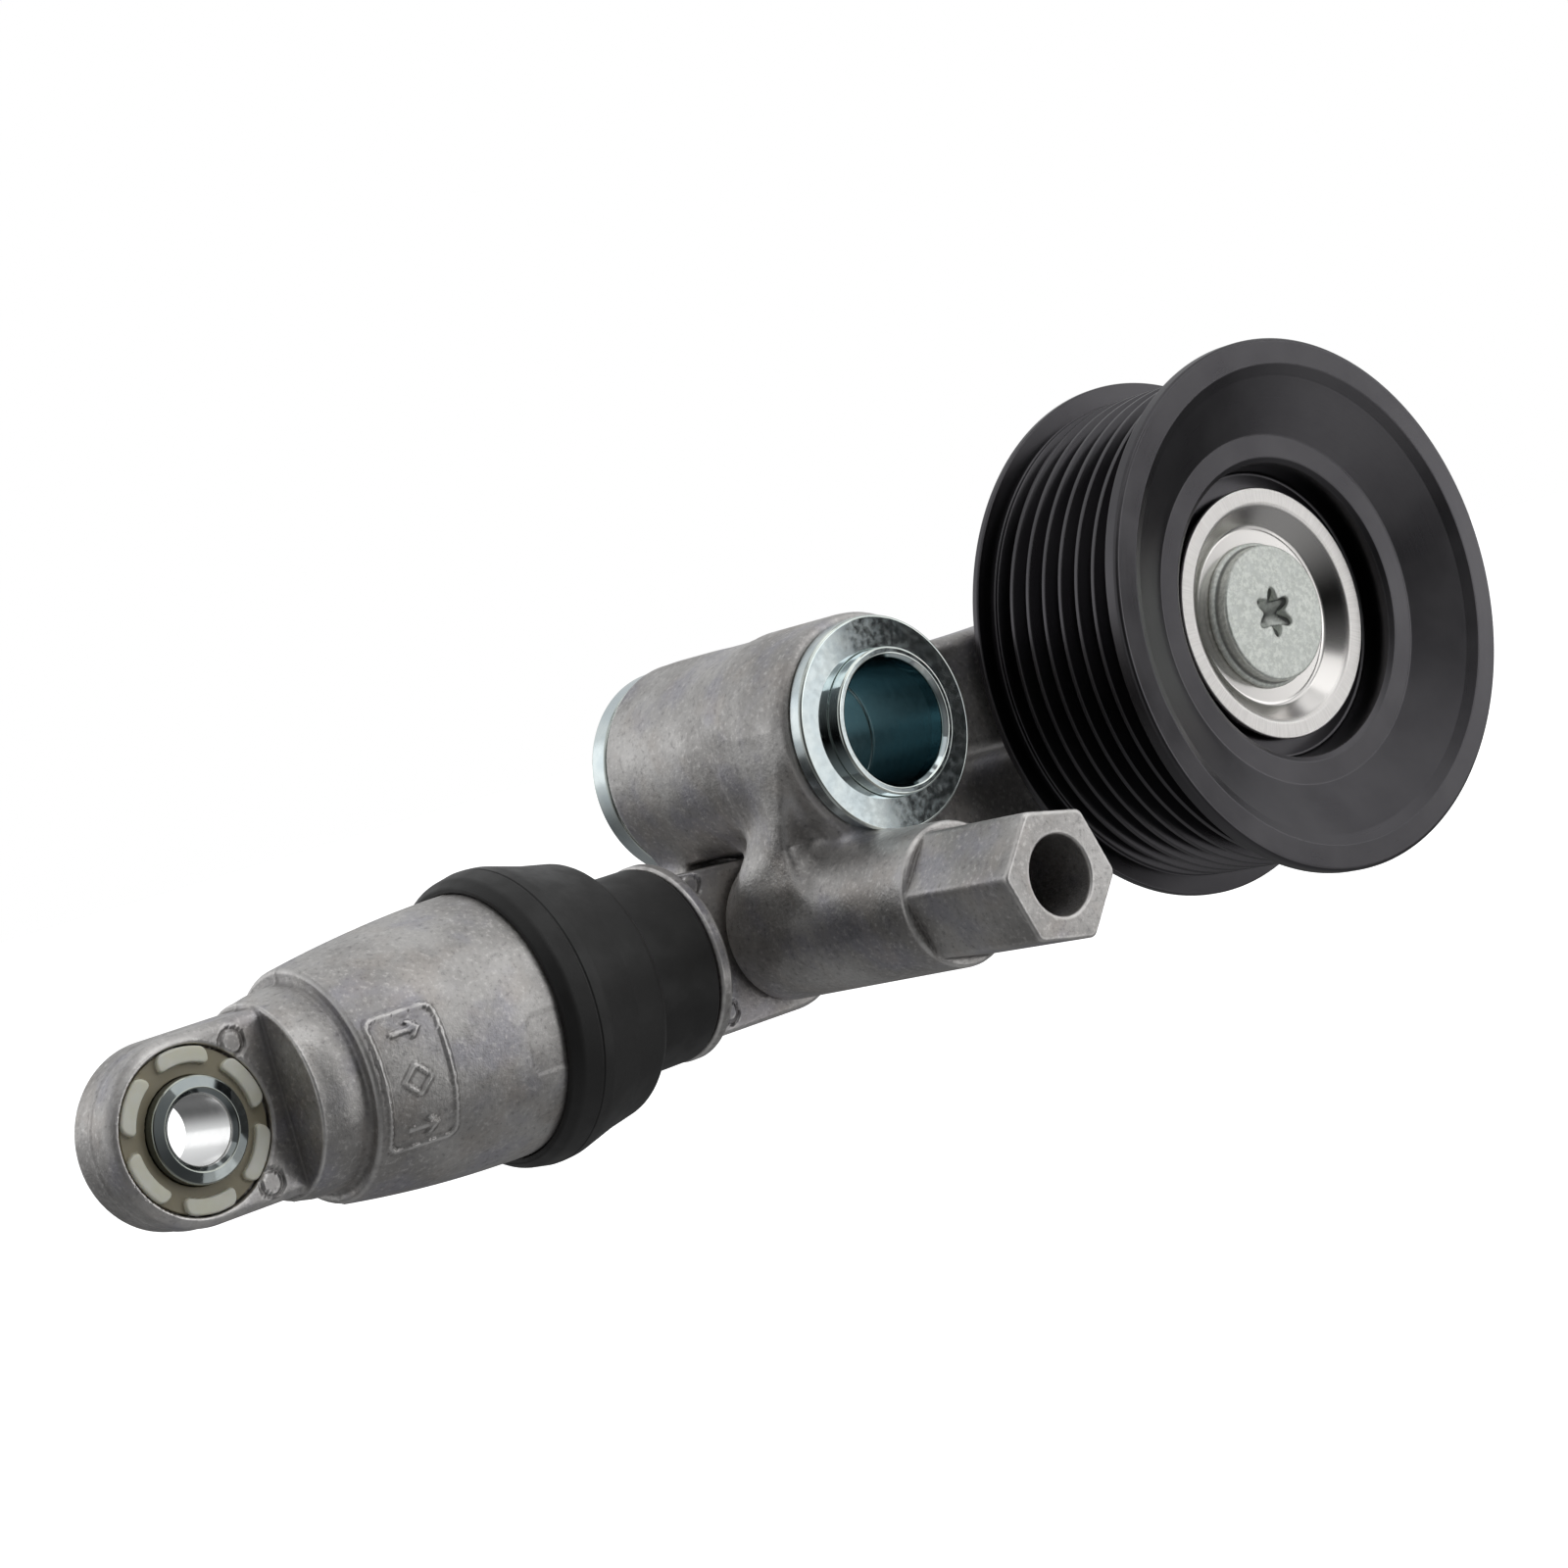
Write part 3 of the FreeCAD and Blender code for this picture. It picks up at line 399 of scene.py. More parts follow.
def inside_beam(x, z, wall, start, end):
    """Distance to the beam's outline seen from the front, less a wall, between two places on X."""
    middle = BEAM_DROP * x / PULLEY[0]
    half = BEAM_HALF + BEAM_FLARE * ((x - 40) / 43) ** 2
    return np.maximum(np.abs(z - middle) - half + wall, np.maximum(start - x, x - end))


def beam_and_ear(points):
    """The beam, the pulley boss at its end, and the ear that holds the rear of the clevis pin."""
    x, y, z = points.T
    beam = slab(inside_beam(x, z, 0.0, 0.0, PULLEY[0]), y, BEAM_FRONT, BEAM_REAR, 2.2)
    beam = joined(beam, disc(points, PULLEY, Y, BEAM_FRONT, BEAM_REAR, BOSS_RADIUS, 1.2), 4.0)
    step = disc(points, PULLEY, Y, BOSS_STEP_FRONT, BEAM_FRONT + 1.2, BOSS_STEP_RADIUS, 0.5)
    beam = joined(beam, step, 2.0)
    gusset_corners = [
        (0, 5),
        (PULLEY[0], 3),
        (PULLEY[0] - 2, -14),
        (66, -22),
        (PIN[0] + 3, PIN[2] - 10.4),
        (PIN[0] - 8, PIN[2] + 2),
    ]
    gusset_outline = outline_distance(x, z, gusset_corners)
    gusset = slab(gusset_outline - 0.2, y, EAR_FRONT, BEAM_REAR + 1, 1.5)
    ear = disc(points, PIN, Y, EAR_FRONT, EAR_REAR, EAR_RADIUS, 0.8)
    return joined(joined(beam, gusset, 5.0), ear, 2.5)


def arm_distance(points):
    """Hub, clevis barrel with its hex, rear ear, beam and pulley boss, in one casting."""
    x, y, z = points.T
    solid = joined(hub_and_barrel(points), beam_and_ear(points), 5.0)
    seat = disc(points, PULLEY, Y, BEARING_SEAT_FRONT, BEAM_FRONT, BEARING_SEAT_RADIUS, 0.3)
    solid = joined(solid, seat, 0.5)
    pocket_outline = inside_beam(x, z, POCKET_WALL, POCKET_START, POCKET_END)
    solid = cut_away(solid, slab(pocket_outline, y, POCKET_FLOOR, FAR_REAR, 2.0), 1.2)
    slot = bar(points, (PIN[0], PIN[2]), (-40, PIN[2]), 11.3, 12.6, BARREL_REAR, EAR_FRONT, 0.3)
    solid = cut_away(solid, slot, 0.5)
    for centre, front, rear, radius in ARM_BORES:
        solid = cut_away(solid, disc(points, centre, Y, front, rear, radius), 0.5)
    return solid


STRUT_Y, STRUT_Z = STRUT[1], STRUT[2]
TANG_HALF = 5.2
TANG_FRONT, TANG_REAR = STRUT_Y - TANG_HALF, STRUT_Y + TANG_HALF
TANG_RADIUS = 12.3
NECK_START, NECK_END, NECK_RADIUS, NECK_SWELL = -92.6, -84.0, 13.3, 0.6
BELL_START, BELL_END, BELL_RADIUS = -85.7, -50.0, 18.35
BELL_TAPER, BELL_TAPER_START, BELL_TAPER_LENGTH = 2.5, -57, 28.5
WELL_RADIUS, CYLINDER_SEAT_RADIUS = 14.2, 8.22
PARTING_HEIGHT, PARTING_HALF = 0.12, 0.55
FRAME_X, FRAME_ARC = -79.4, -2.1
SIGN_X, ARROW_ARCS = -79.6, (4.4, -8.6)
FRAME_HEIGHT = 0.28
PATCH_X, PATCH_ARC, PATCH_DEPTH = -58.0, -3.0, 0.14
EJECTOR_X, EJECTOR_HEIGHTS, EJECTOR_RADIUS = -97.6, (STRUT_Z + 9.1, STRUT_Z - 9.5), 1.7


def arrow(along, across):
    """Distance to a plain arrow that points up along."""
    shaft = rectangle(along, across, 2.0, 0.28, 0.2)
    tip = np.abs(along - 2.0 + np.abs(across)) - 0.3
    head = np.maximum(np.maximum(tip, np.abs(across) - 1.1), -0.1 - along)
    return np.minimum(shaft, head)


def cast_frame(x, arc):
    """Distance to the raised frame with its arrows and lozenge, on the unrolled housing."""
    line = np.abs(rectangle(x - FRAME_X, arc - FRAME_ARC, 4.8, 9.2, 1.4)) - 0.2
    for arrow_arc in ARROW_ARCS:
        line = np.minimum(line, arrow(x - SIGN_X, arc - arrow_arc))
    lozenge = np.abs(np.abs(x - SIGN_X) + np.abs(arc - FRAME_ARC) - 2.0) - 0.25
    return np.minimum(line, lozenge)


def ejector_ring(x, z, middle_x, middle_z, radius):
    """1 on the fine ring that an ejector pin leaves, 0 away from it."""
    from_ring = np.abs(np.hypot(x - middle_x, z - middle_z) - radius)
    return 1 - smooth_step(from_ring, 0.1, 0.4)


def housing_distance(points):
    """The cast lower half of the strut with its eye."""
    x, y, z = points.T
    front_side = y < STRUT_Y
    neck_radius = NECK_RADIUS + NECK_SWELL * smooth_step(x, NECK_START, -88.5)
    neck = disc(points, STRUT, X, NECK_START, NECK_END, neck_radius, 0.35)
    taper = np.clip((BELL_TAPER_START - x) / BELL_TAPER_LENGTH, 0, 1) ** 1.9
    bell = disc(points, STRUT, X, BELL_START, BELL_END, BELL_RADIUS - BELL_TAPER * taper, 0.7)
    eye, root = (EYE[0], STRUT_Z), (-90.0, STRUT_Z)
    tang = bar(points, eye, root, TANG_RADIUS, TANG_RADIUS, TANG_FRONT, TANG_REAR, 1.6)
    solid = joined(joined(neck, bell, 1.0), tang, 0.6)

    solid = solid - PARTING_HEIGHT * (1 - smooth_step(np.abs(y - STRUT_Y), 0.1, PARTING_HALF))
    arc = np.arctan2(z - STRUT_Z, STRUT_Y - y) * np.hypot(y - STRUT_Y, z - STRUT_Z)
    solid = solid - FRAME_HEIGHT * (1 - smooth_step(cast_frame(x, arc), 0.0, 0.3)) * front_side
    patch = rectangle(x - PATCH_X, arc - PATCH_ARC, 4.5, 4.0, 1.4)
    solid = solid + PATCH_DEPTH * (1 - smooth_step(patch, -0.35, 0.35)) * front_side
    for height in EJECTOR_HEIGHTS:
        solid = solid + 0.25 * ejector_ring(x, z, EJECTOR_X, height, EJECTOR_RADIUS) * front_side

    solid = cut_away(solid, disc(points, STRUT, X, -80.0, -40.0, WELL_RADIUS, 1.0), 0.4)
    solid = cut_away(solid, disc(points, STRUT, X, -84.0, -70.0, CYLINDER_SEAT_RADIUS, 0.1), 0.3)
    solid = cut_away(solid, disc(points, EYE, Y, 0, FAR_REAR, 9.0), 0.4)
    for front, rear in ((0, TANG_FRONT + 1.2), (TANG_REAR - 1.2, FAR_REAR)):
        solid = cut_away(solid, disc(points, EYE, Y, front, rear, 10.9), 0.5)
    return solid


SPIGOT_START, SPIGOT_RADIUS = -38.0, 12.0
COLLAR_START, COLLAR_MIDDLE, COLLAR_END, COLLAR_RADIUS = -26.0, -25.0, -24.0, 14.25
UPPER_EYE_RADIUS = 8.0
ROD_SEAT_END, ROD_SEAT_RADIUS = -29.0, 4.22
UPPER_EJECTORS = ((-20.1, -14.7), (-19.6, -33.2))


def rod_end_distance(points):
    """The cast upper half of the strut: spigot, collar plate and upper eye."""
    x, y, z = points.T
    spigot = disc(points, STRUT, X, SPIGOT_START, COLLAR_MIDDLE, SPIGOT_RADIUS, 0.5)
    collar = disc(points, STRUT, X, COLLAR_START, COLLAR_END, COLLAR_RADIUS, 0.5)
    root, end = (-24.5, STRUT_Z - 0.3), (PIN[0], STRUT_Z - 0.9)
    tang = bar(points, root, end, 11.7, 11.3, TANG_FRONT, TANG_REAR, 0.9)
    tang = np.maximum(tang, COLLAR_MIDDLE - x)
    solid = joined(joined(spigot, collar, 0.4), tang, 0.8)
    for mark_x, mark_z in UPPER_EJECTORS:
        solid = solid + 0.28 * ejector_ring(x, z, mark_x, mark_z, 1.6) * (y < STRUT_Y)
    solid = cut_away(solid, disc(points, PIN, Y, 0, FAR_REAR, UPPER_EYE_RADIUS), 0.4)
    return cut_away(solid, disc(points, STRUT, X, -50.0, ROD_SEAT_END, ROD_SEAT_RADIUS), 0.3)


def bolt_distance(points):
    """The pulley bolt: flat head on a wide base, six-lobe recess, plain shank."""
    x, y, z = points.T
    head = disc(points, PULLEY, Y, 4.3, 7.3, 10.5, 0.45)
    base = disc(points, PULLEY, Y, 6.6, 7.4, 11.25, 0.3)
    shank = disc(points, PULLEY, Y, 7.0, 39.0, 5.0, 0.8)
    solid = joined(joined(head, base, 0.8), shank, 0.6)
    angle = np.arctan2(z - PULLEY[2], x - PULLEY[0])
    lobes = 3.05 + 0.75 * np.cos(6 * (angle - math.radians(22)))
    recess = disc(points, PULLEY, Y, 0.0, 7.6, lobes, 0.3)
    cone = np.hypot(x - PULLEY[0], z - PULLEY[2]) - 1.2 * (8.2 - y)
    return cut_away(solid, np.maximum(recess * 0.6, cone * 0.6), 0.3)


def eye_bush_distance(points):
    """The nylon bush of the lower eye: six lobes on each end of a flanged tube."""
    x, y, z = points.T
    across = np.hypot(x - EYE[0], z - EYE[2])
    angle = np.arctan2(z - EYE[2], x - EYE[0])
    pitch = math.radians(60)
    from_lobe = np.abs((angle + math.radians(5)) % pitch - pitch / 2) * across
    depth = TANG_HALF - np.abs(y - STRUT_Y)
    tube = slab(np.abs(across - 8.0) - 0.98, y - STRUT_Y, 1.3 - TANG_HALF, TANG_HALF - 1.3, 0.2)
    flange = slab(np.abs(across - 8.8) - 1.8, depth, 0.75, 1.15, 0.1)
    lobe_outline = rectangle(across - 9.6, from_lobe, 1.05, 3.75, 0.9)
    lobes = slab(lobe_outline, depth, 0.0, 0.95, 0.25)
    return joined(joined(tube, flange, 0.3), lobes, 0.15)


# ------------------------------------------------------------------ the turned pieces

PULLEY_RADIUS = 40.9
CREST_RADIUS = 37.9
GROOVE_PITCH = 3.56
GROOVE_DEPTH = 2.9
FIRST_CREST = 4.4
GROOVES = 7
PULLEY_FRONT, PULLEY_REAR = -3.9, 27.9
SLEEVE_BORE, SLEEVE_RADIUS = 8.7, 10.3
WASHER_RADIUS = 15.15


def make_pulley():
    """Rolled rim with seven grooves, dished front, recess round the bearing, hollow back."""
    root = CREST_RADIUS - GROOVE_DEPTH
    crest_half, root_half = 0.35, 0.37
    outline = [
        (PULLEY_FRONT, PULLEY_RADIUS, 0.7),
        (PULLEY_FRONT + 2.5, PULLEY_RADIUS, 0.5),
        (FIRST_CREST - GROOVE_PITCH - 1.0, CREST_RADIUS - 0.6, 0.5),
    ]
    for i in range(GROOVES):
        middle = FIRST_CREST + GROOVE_PITCH * (i - 0.5)
        outline += [
            (middle - GROOVE_PITCH / 2 + crest_half, CREST_RADIUS, 0.22),
            (middle - root_half, root, 0.2),
            (middle + root_half, root, 0.2),
            (middle + GROOVE_PITCH / 2 - crest_half, CREST_RADIUS, 0.22),
        ]
    outline += [
        (FIRST_CREST + GROOVE_PITCH * (GROOVES - 1) + 0.5, CREST_RADIUS - 0.5, 0.3),
        (PULLEY_REAR - 1.3, PULLEY_RADIUS - 0.1, 0.3),
        (PULLEY_REAR, PULLEY_RADIUS - 0.1, 0.4),
        (PULLEY_REAR, root - 1.8, 0.5),
        (PULLEY_REAR - 1.0, root - 2.6, 0.5),
        (3.2, root - 3.1, 2.5),
        (5.6, 25.6, 3.0),
        (21.0, 24.2, 0.5),
        (22.0, 23.6, 0.4),
        (22.0, 20.0, 0.3),
        (20.2, 19.7, 0.2),
        (20.0, 20.0, 0.1),
        (8.0, 20.0, 0.1),
        (8.0, 18.6, 0.2),
        (6.6, 18.6, 0.3),
        (6.8, 22.2, 0.5),
        (1.9, 22.7, 0.3),
        (1.35, 23.5, 0.5),
        (1.3, 27.0, 0.8),
        (-2.9, 35.2, 3.0),
        (PULLEY_FRONT, 36.9, 0.5),
    ]
    return lathe("pulley_rim", PULLEY, Y, outline, segments=288)


def make_dust_shield():
    """Pressed shield: flat rim, rounded dish, and the seat under the bolt's head."""
    outline = [
        (4.6, 19.5, 0.3), (5.2, 19.5, 0.25), (5.2, 17.4, 0.8), (8.0, 14.9, 0.8),
        (8.0, 5.3), (7.4, 5.3), (7.4, 13.8, 1.4), (4.6, 16.9, 1.1),
    ]
    return lathe("dust_shield_pressed", PULLEY, Y, outline, segments=224)


def make_pivot_sleeve():
    """The sleeve with its flanged rear end, rolled front mouth and a fine groove in its bore."""
    groove_radius = SLEEVE_BORE + 0.22
    outline = [
        (-2.3, SLEEVE_RADIUS, 0.35), (-2.3, 9.35, 0.3), (-1.6, SLEEVE_BORE + 0.05, 0.5),
        (13.0, SLEEVE_BORE, 0.1), (13.15, groove_radius, 0.1), (13.6, groove_radius, 0.1),
        (13.75, SLEEVE_BORE, 0.1), (48.1, SLEEVE_BORE, 0.2), (48.6, 9.2, 0.2),
        (48.6, WASHER_RADIUS, 0.6), (45.0, WASHER_RADIUS, 0.5), (45.0, SLEEVE_RADIUS, 0.1),
    ]
    return lathe("pivot_sleeve_plated", PIVOT, Y, outline, segments=192)


def make_thrust_washer():
    """The plain washer round the sleeve's front end."""
    bore, rear = 10.34, 2.3
    outline = [
        (0.0, bore, 0.15), (rear, bore, 0.15), (rear, WASHER_RADIUS, 0.2), (0.0, WASHER_RADIUS, 0.45),
    ]
    return lathe("thrust_washer_plated", PIVOT, Y, outline, segments=192)


def make_eye_sleeve():
    """The steel sleeve of the lower eye, the same at both ends."""
    front, rear = EYE[1] - 6.5, EYE[1] + 6.5
    outline = [
        (front + 0.35, 6.95, 0.35), (front, 5.3, 0.3), (front + 0.8, 4.5, 0.4),
        (rear - 0.8, 4.5, 0.4), (rear, 5.3, 0.3), (rear - 0.35, 6.95, 0.35),
    ]
    return lathe("eye_sleeve_plated", EYE, Y, outline, segments=128)


def make_boot():
    """Moulded boot: lip on the housing, crown with its parting line, and a cuff on the spigot."""
    crown = 20.8
    outline = [
        (-57.0, 18.5, 0.2), (-50.0, 18.5, 0.3), (-49.0, 17.8, 0.5), (-42.0, 16.5, 1.5),
        (-39.4, 14.0, 1.5), (-38.6, 12.1, 0.5), (-26.1, 12.1, 0.2), (-26.1, 13.7, 0.5),
        (-26.6, 14.05, 0.5), (-37.2, 14.1, 0.9), (-38.2, 15.0, 0.8), (-38.3, 16.4, 1.2),
        (-39.6, 18.2, 1.8), (-45.0, 19.2, 4.0), (-50.8, crown - 0.1, 4.0), (-52.5, crown, 0.3),
        (-52.6, crown - 0.14, 0.1), (-52.8, crown - 0.14, 0.1), (-52.9, crown, 0.3),
        (-55.6, crown - 0.5, 1.8), (-57.0, 19.3, 0.5),
    ]
    return lathe("boot_moulded", STRUT, X, outline, segments=192, wear_reach=0.6)


def make_spring(node, wire, radius, coils):
    """A round-wire spring with closed ends, as long as its CAD node."""
    low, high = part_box(node)
    gap = 0.05
    start, end = low[X] / MM + wire + gap, high[X] / MM - wire - gap
    steps, around = 288, 14
    turn = np.linspace(0, 2 * math.pi * coils, steps + 1)
    outwards = np.column_stack([np.zeros_like(turn), np.sin(turn), -np.cos(turn)])
    line = np.array([0, STRUT_Y, STRUT_Z]) + radius * outwards
    line[:, X] = start + (end - start) * smooth_step(turn / turn[-1], -0.04, 1.04)
    forward = np.gradient(line, axis=0)
    forward /= np.linalg.norm(forward, axis=1, keepdims=True)
    sideways = np.cross(forward, outwards)
    angle = np.arange(around) * 2 * math.pi / around
    rims = outwards[:, None] * np.cos(angle)[:, None] + sideways[:, None] * np.sin(angle)[:, None]
    vertices = (line[:, None] + wire * rims).reshape(-1, 3)
    i, j = np.meshgrid(np.arange(steps), np.arange(around), indexing="ij")
    k = (j + 1) % around
    faces = np.stack([i * around + j, (i + 1) * around + j, (i + 1) * around + k, i * around + k], -1)
    faces = faces.reshape(-1, 4).tolist()
    faces += [list(range(around)), list(range(steps * around, (steps + 1) * around))[::-1]]
    return mesh_piece(node + "_wound", vertices, faces, rims.reshape(-1, 3))


# ------------------------------------------------------------------ materials

class Nodes:
    """A node tree under construction."""

    def __init__(self, tree):
        self.tree = tree
        self.tree.nodes.clear()

    def node(self, kind, settings=None, **inputs):
        """A node with its inputs; an input is called by name, or i and its number."""
        node = self.tree.nodes.new("ShaderNode" + kind)
        for key, value in (settings or {}).items():
            setattr(node, key, value)
        for key, value in inputs.items():
            numbered = key[0] == "i" and key[1:].isdigit()
            socket = node.inputs[int(key[1:]) if numbered else key.replace("_", " ")]
            if isinstance(value, bpy.types.NodeSocket):
                self.tree.links.new(value, socket)
            else:
                socket.default_value = value
        return node

    def math(self, operation, one, two=0.0):
        """One arithmetic step."""
        return self.node("Math", {"operation": operation}, i0=one, i1=two).outputs[0]

    def ramp(self, value, low, high, to_low=0.0, to_high=1.0):
        """An easy passage from one number to another as the value goes from low to high."""
        settings = {"interpolation_type": "SMOOTHSTEP"}
        return self.node("MapRange", settings, i0=value, i1=low, i2=high, i3=to_low, i4=to_high).outputs[0]


class Paint(Nodes):
    """A node material under construction."""

    def __init__(self, name):
        self.material = bpy.data.materials.new(name)
        self.material.use_nodes = True
        super().__init__(self.material.node_tree)
        self.places = self.node("TexCoord").outputs["Object"]

    def noise(self, scale, detail=4.0, roughness=0.55, places=None):
        """Noise from 0 to 1; scale is in features per metre."""
        node = self.node(
            "TexNoise", None, Vector=places or self.places, Scale=scale, Detail=detail, Roughness=roughness)
        return node.outputs["Fac"]

    def mix(self, factor, one, two):
        """Colour one, or two where factor is 1."""
        return self.node("Mix", {"data_type": "RGBA"}, i0=factor, i6=one, i7=two).outputs[2]

    def moved(self, by):
        """The place on the piece, shifted, for a noise of its own."""
        return self.node("VectorMath", {"operation": "ADD"}, i0=self.places, i1=(by, 0, 0)).outputs[0]

    def attribute(self, name):
        """A number stored on the mesh's points."""
        return self.node("Attribute", {"attribute_name": name}).outputs["Fac"]

    def polar(self, centre):
        """Angle round an axis along Y, distance from it, and place along it."""
        centre = tuple(np.array(centre) * MM)
        shift = self.node("VectorMath", {"operation": "SUBTRACT"}, i0=self.places, i1=centre)
        x, y, z = self.node("SeparateXYZ", None, i0=shift.outputs[0]).outputs
        squares = self.math("ADD", self.math("MULTIPLY", x, x), self.math("MULTIPLY", z, z))
        return self.math("ARCTAN2", z, x), self.math("SQRT", squares), y

    def combine(self, x, y, z):
        """A place made of three numbers."""
        return self.node("CombineXYZ", None, i0=x, i1=y, i2=z).outputs[0]

    def bump(self, height, distance, strength=1.0, under=None):
        """Bump from a height of 0 to 1 that stands for a distance in metres."""
        inputs = {"Height": height, "Distance": distance, "Strength": strength}
        if under is not None:
            inputs["Normal"] = under
        return self.node("Bump", None, **inputs).outputs[0]

    def finish(self, **inputs):
        """Puts the inputs into the one shader, and gives the material."""
        shader = self.node("BsdfPrincipled", None, **inputs)
        self.tree.links.new(shader.outputs[0], self.node("OutputMaterial").inputs[0])
        return self.material


def grey(value, warm=0.0):
    """A grey, with more red and less blue as warm grows."""
    return (value * (1 + warm), value, value * (1 - warm), 1.0)


def cast_aluminium():
    """Die-cast skin: grainy matt grey in tinted blotches, dull hollows, edges rubbed bright."""
    p = Paint("cast_aluminium")
    dark_skin, pale_skin = (0.38, 0.366, 0.356, 1), (0.60, 0.586, 0.572, 1)
    blue_tint, warm_tint = (0.39, 0.385, 0.45, 1), (0.52, 0.47, 0.43, 1)
    bright_speck, dark_speck = (0.78, 0.76, 0.74, 1), (0.20, 0.19, 0.19, 1)
    bare_metal, hollow_dark = (0.82, 0.80, 0.78, 1), (0.14, 0.13, 0.125, 1)
    blotch = p.ramp(p.noise(70, 4, 0.6), 0.34, 0.68)
    tint = p.ramp(p.noise(95, 3, 0.55, p.moved(3.1)), 0.48, 0.66, 0, 0.55)
    warm = p.ramp(p.noise(130, 3, 0.55, p.moved(7.7)), 0.50, 0.68, 0, 0.35)
    speck = p.noise(1300, 3, 0.65)
    grain = p.noise(2400, 2, 0.6)
    colour = p.mix(blotch, dark_skin, pale_skin)
    colour = p.mix(tint, colour, blue_tint)
    colour = p.mix(warm, colour, warm_tint)
    colour = p.mix(p.ramp(speck, 0.52, 0.72, 0, 0.55), colour, bright_speck)
    colour = p.mix(p.ramp(speck, 0.46, 0.28, 0, 0.5), colour, dark_speck)
    wear = p.attribute("wear")
    patchy = p.ramp(p.noise(500, 3, 0.6), 0.25, 0.6, 0.35, 1.0)
    rubbed = p.math("MULTIPLY", p.ramp(wear, 0.25, 1.1), patchy)
    colour = p.mix(p.math("MULTIPLY", rubbed, 0.8), colour, bare_metal)
    # Hollows are darkened towards a dark grey.
    hollow = p.ramp(wear, -0.15, -1.0)
    colour = p.mix(p.math("MULTIPLY", hollow, 0.65), colour, hollow_dark)
    rough = p.ramp(p.noise(160, 3), 0.3, 0.7, 0.40, 0.50)
    rough = p.math("SUBTRACT", rough, p.math("MULTIPLY", rubbed, 0.08))
    fine = p.bump(grain, 0.00009, 0.6)
    relief = p.bump(p.noise(420, 3, 0.5), 0.00022, 0.4, fine)
    return p.finish(Base_Color=colour, Roughness=rough, Metallic=0.82, Normal=relief)


def zinc_plate(name, centre, shade, bore_radius, bore_colour, face_depth):
    """Bright zinc: blue cast, its own colour in the bore, straw edges, mirror-like front face."""
    p = Paint(name)
    _, across, along = p.polar(centre)
    cloud = p.noise(260, 3, 0.5)
    dull = (0.60 * shade, 0.68 * shade, 0.71 * shade, 1)
    bright = (0.70 * shade, 0.77 * shade, 0.78 * shade, 1)
    straw = (0.80, 0.80, 0.62, 1)
    colour = p.mix(p.ramp(cloud, 0.35, 0.65), dull, bright)
    bore = p.ramp(across, (bore_radius + 0.3) * MM, (bore_radius + 0.1) * MM)
    colour = p.mix(bore, colour, bore_colour)
    colour = p.mix(p.ramp(p.attribute("wear"), 0.1, 0.9, 0, 0.7), colour, straw)
    in_front = p.ramp(along, face_depth + 0.0003, face_depth)
    off_the_rim = p.ramp(across, (WASHER_RADIUS - 0.25) * MM, (WASHER_RADIUS - 0.35) * MM)
    face = p.math("MULTIPLY", in_front, off_the_rim)
    rough = p.ramp(p.noise(900, 3), 0.3, 0.7, 0.19, 0.25)
    rough = p.math("SUBTRACT", rough, p.math("MULTIPLY", face, 0.145))
    grain = p.bump(p.noise(3000, 3, 0.6), 0.0000005, 0.5)
    return p.finish(Base_Color=colour, Metallic=1.0, Roughness=rough, Normal=grain)


def bolt_zinc():
    """Zinc flake on the bolt: grey-green, speckled and dull."""
    p = Paint("bolt_zinc")
    speck = p.ramp(p.noise(1500, 4, 0.7), 0.42, 0.62)
    cloud = p.noise(420, 3, 0.6)
    colour = p.mix(speck, (0.66, 0.69, 0.65, 1), (0.86, 0.89, 0.84, 1))
    colour = p.mix(p.ramp(cloud, 0.45, 0.7, 0, 0.5), colour, (0.74, 0.77, 0.74, 1))
    colour = p.mix(p.ramp(p.attribute("wear"), -0.1, -0.8, 0, 0.8), colour, (0.08, 0.08, 0.08, 1))
    rough = p.ramp(p.noise(900, 3), 0.3, 0.7, 0.38, 0.55)
    relief = p.bump(p.noise(1900, 3, 0.6), 0.00006, 0.5)
    return p.finish(Base_Color=colour, Metallic=0.6, Roughness=rough, Normal=relief)


def shield_steel():
    """Bright pressed steel with fine radial lines on its rim."""
    p = Paint("shield_steel")
    angle, across, _ = p.polar(PULLEY)
    radial = p.combine(p.math("MULTIPLY", angle, 70), p.math("MULTIPLY", across, 120), 0.0)
    lines = p.noise(1.0, 3, 0.7, radial)
    rim = p.ramp(across, 0.0158, 0.0172)
    strength = p.math("MULTIPLY", p.ramp(lines, 0.35, 0.7), rim)
    colour = p.mix(p.math("MULTIPLY", strength, 0.6), (0.72, 0.70, 0.68, 1), (0.88, 0.86, 0.84, 1))
    rough = p.ramp(rim, 0, 1, 0.20, 0.36)
    relief = p.bump(strength, 0.00002, 0.5)
    return p.finish(Base_Color=colour, Metallic=1.0, Roughness=rough, Normal=relief)


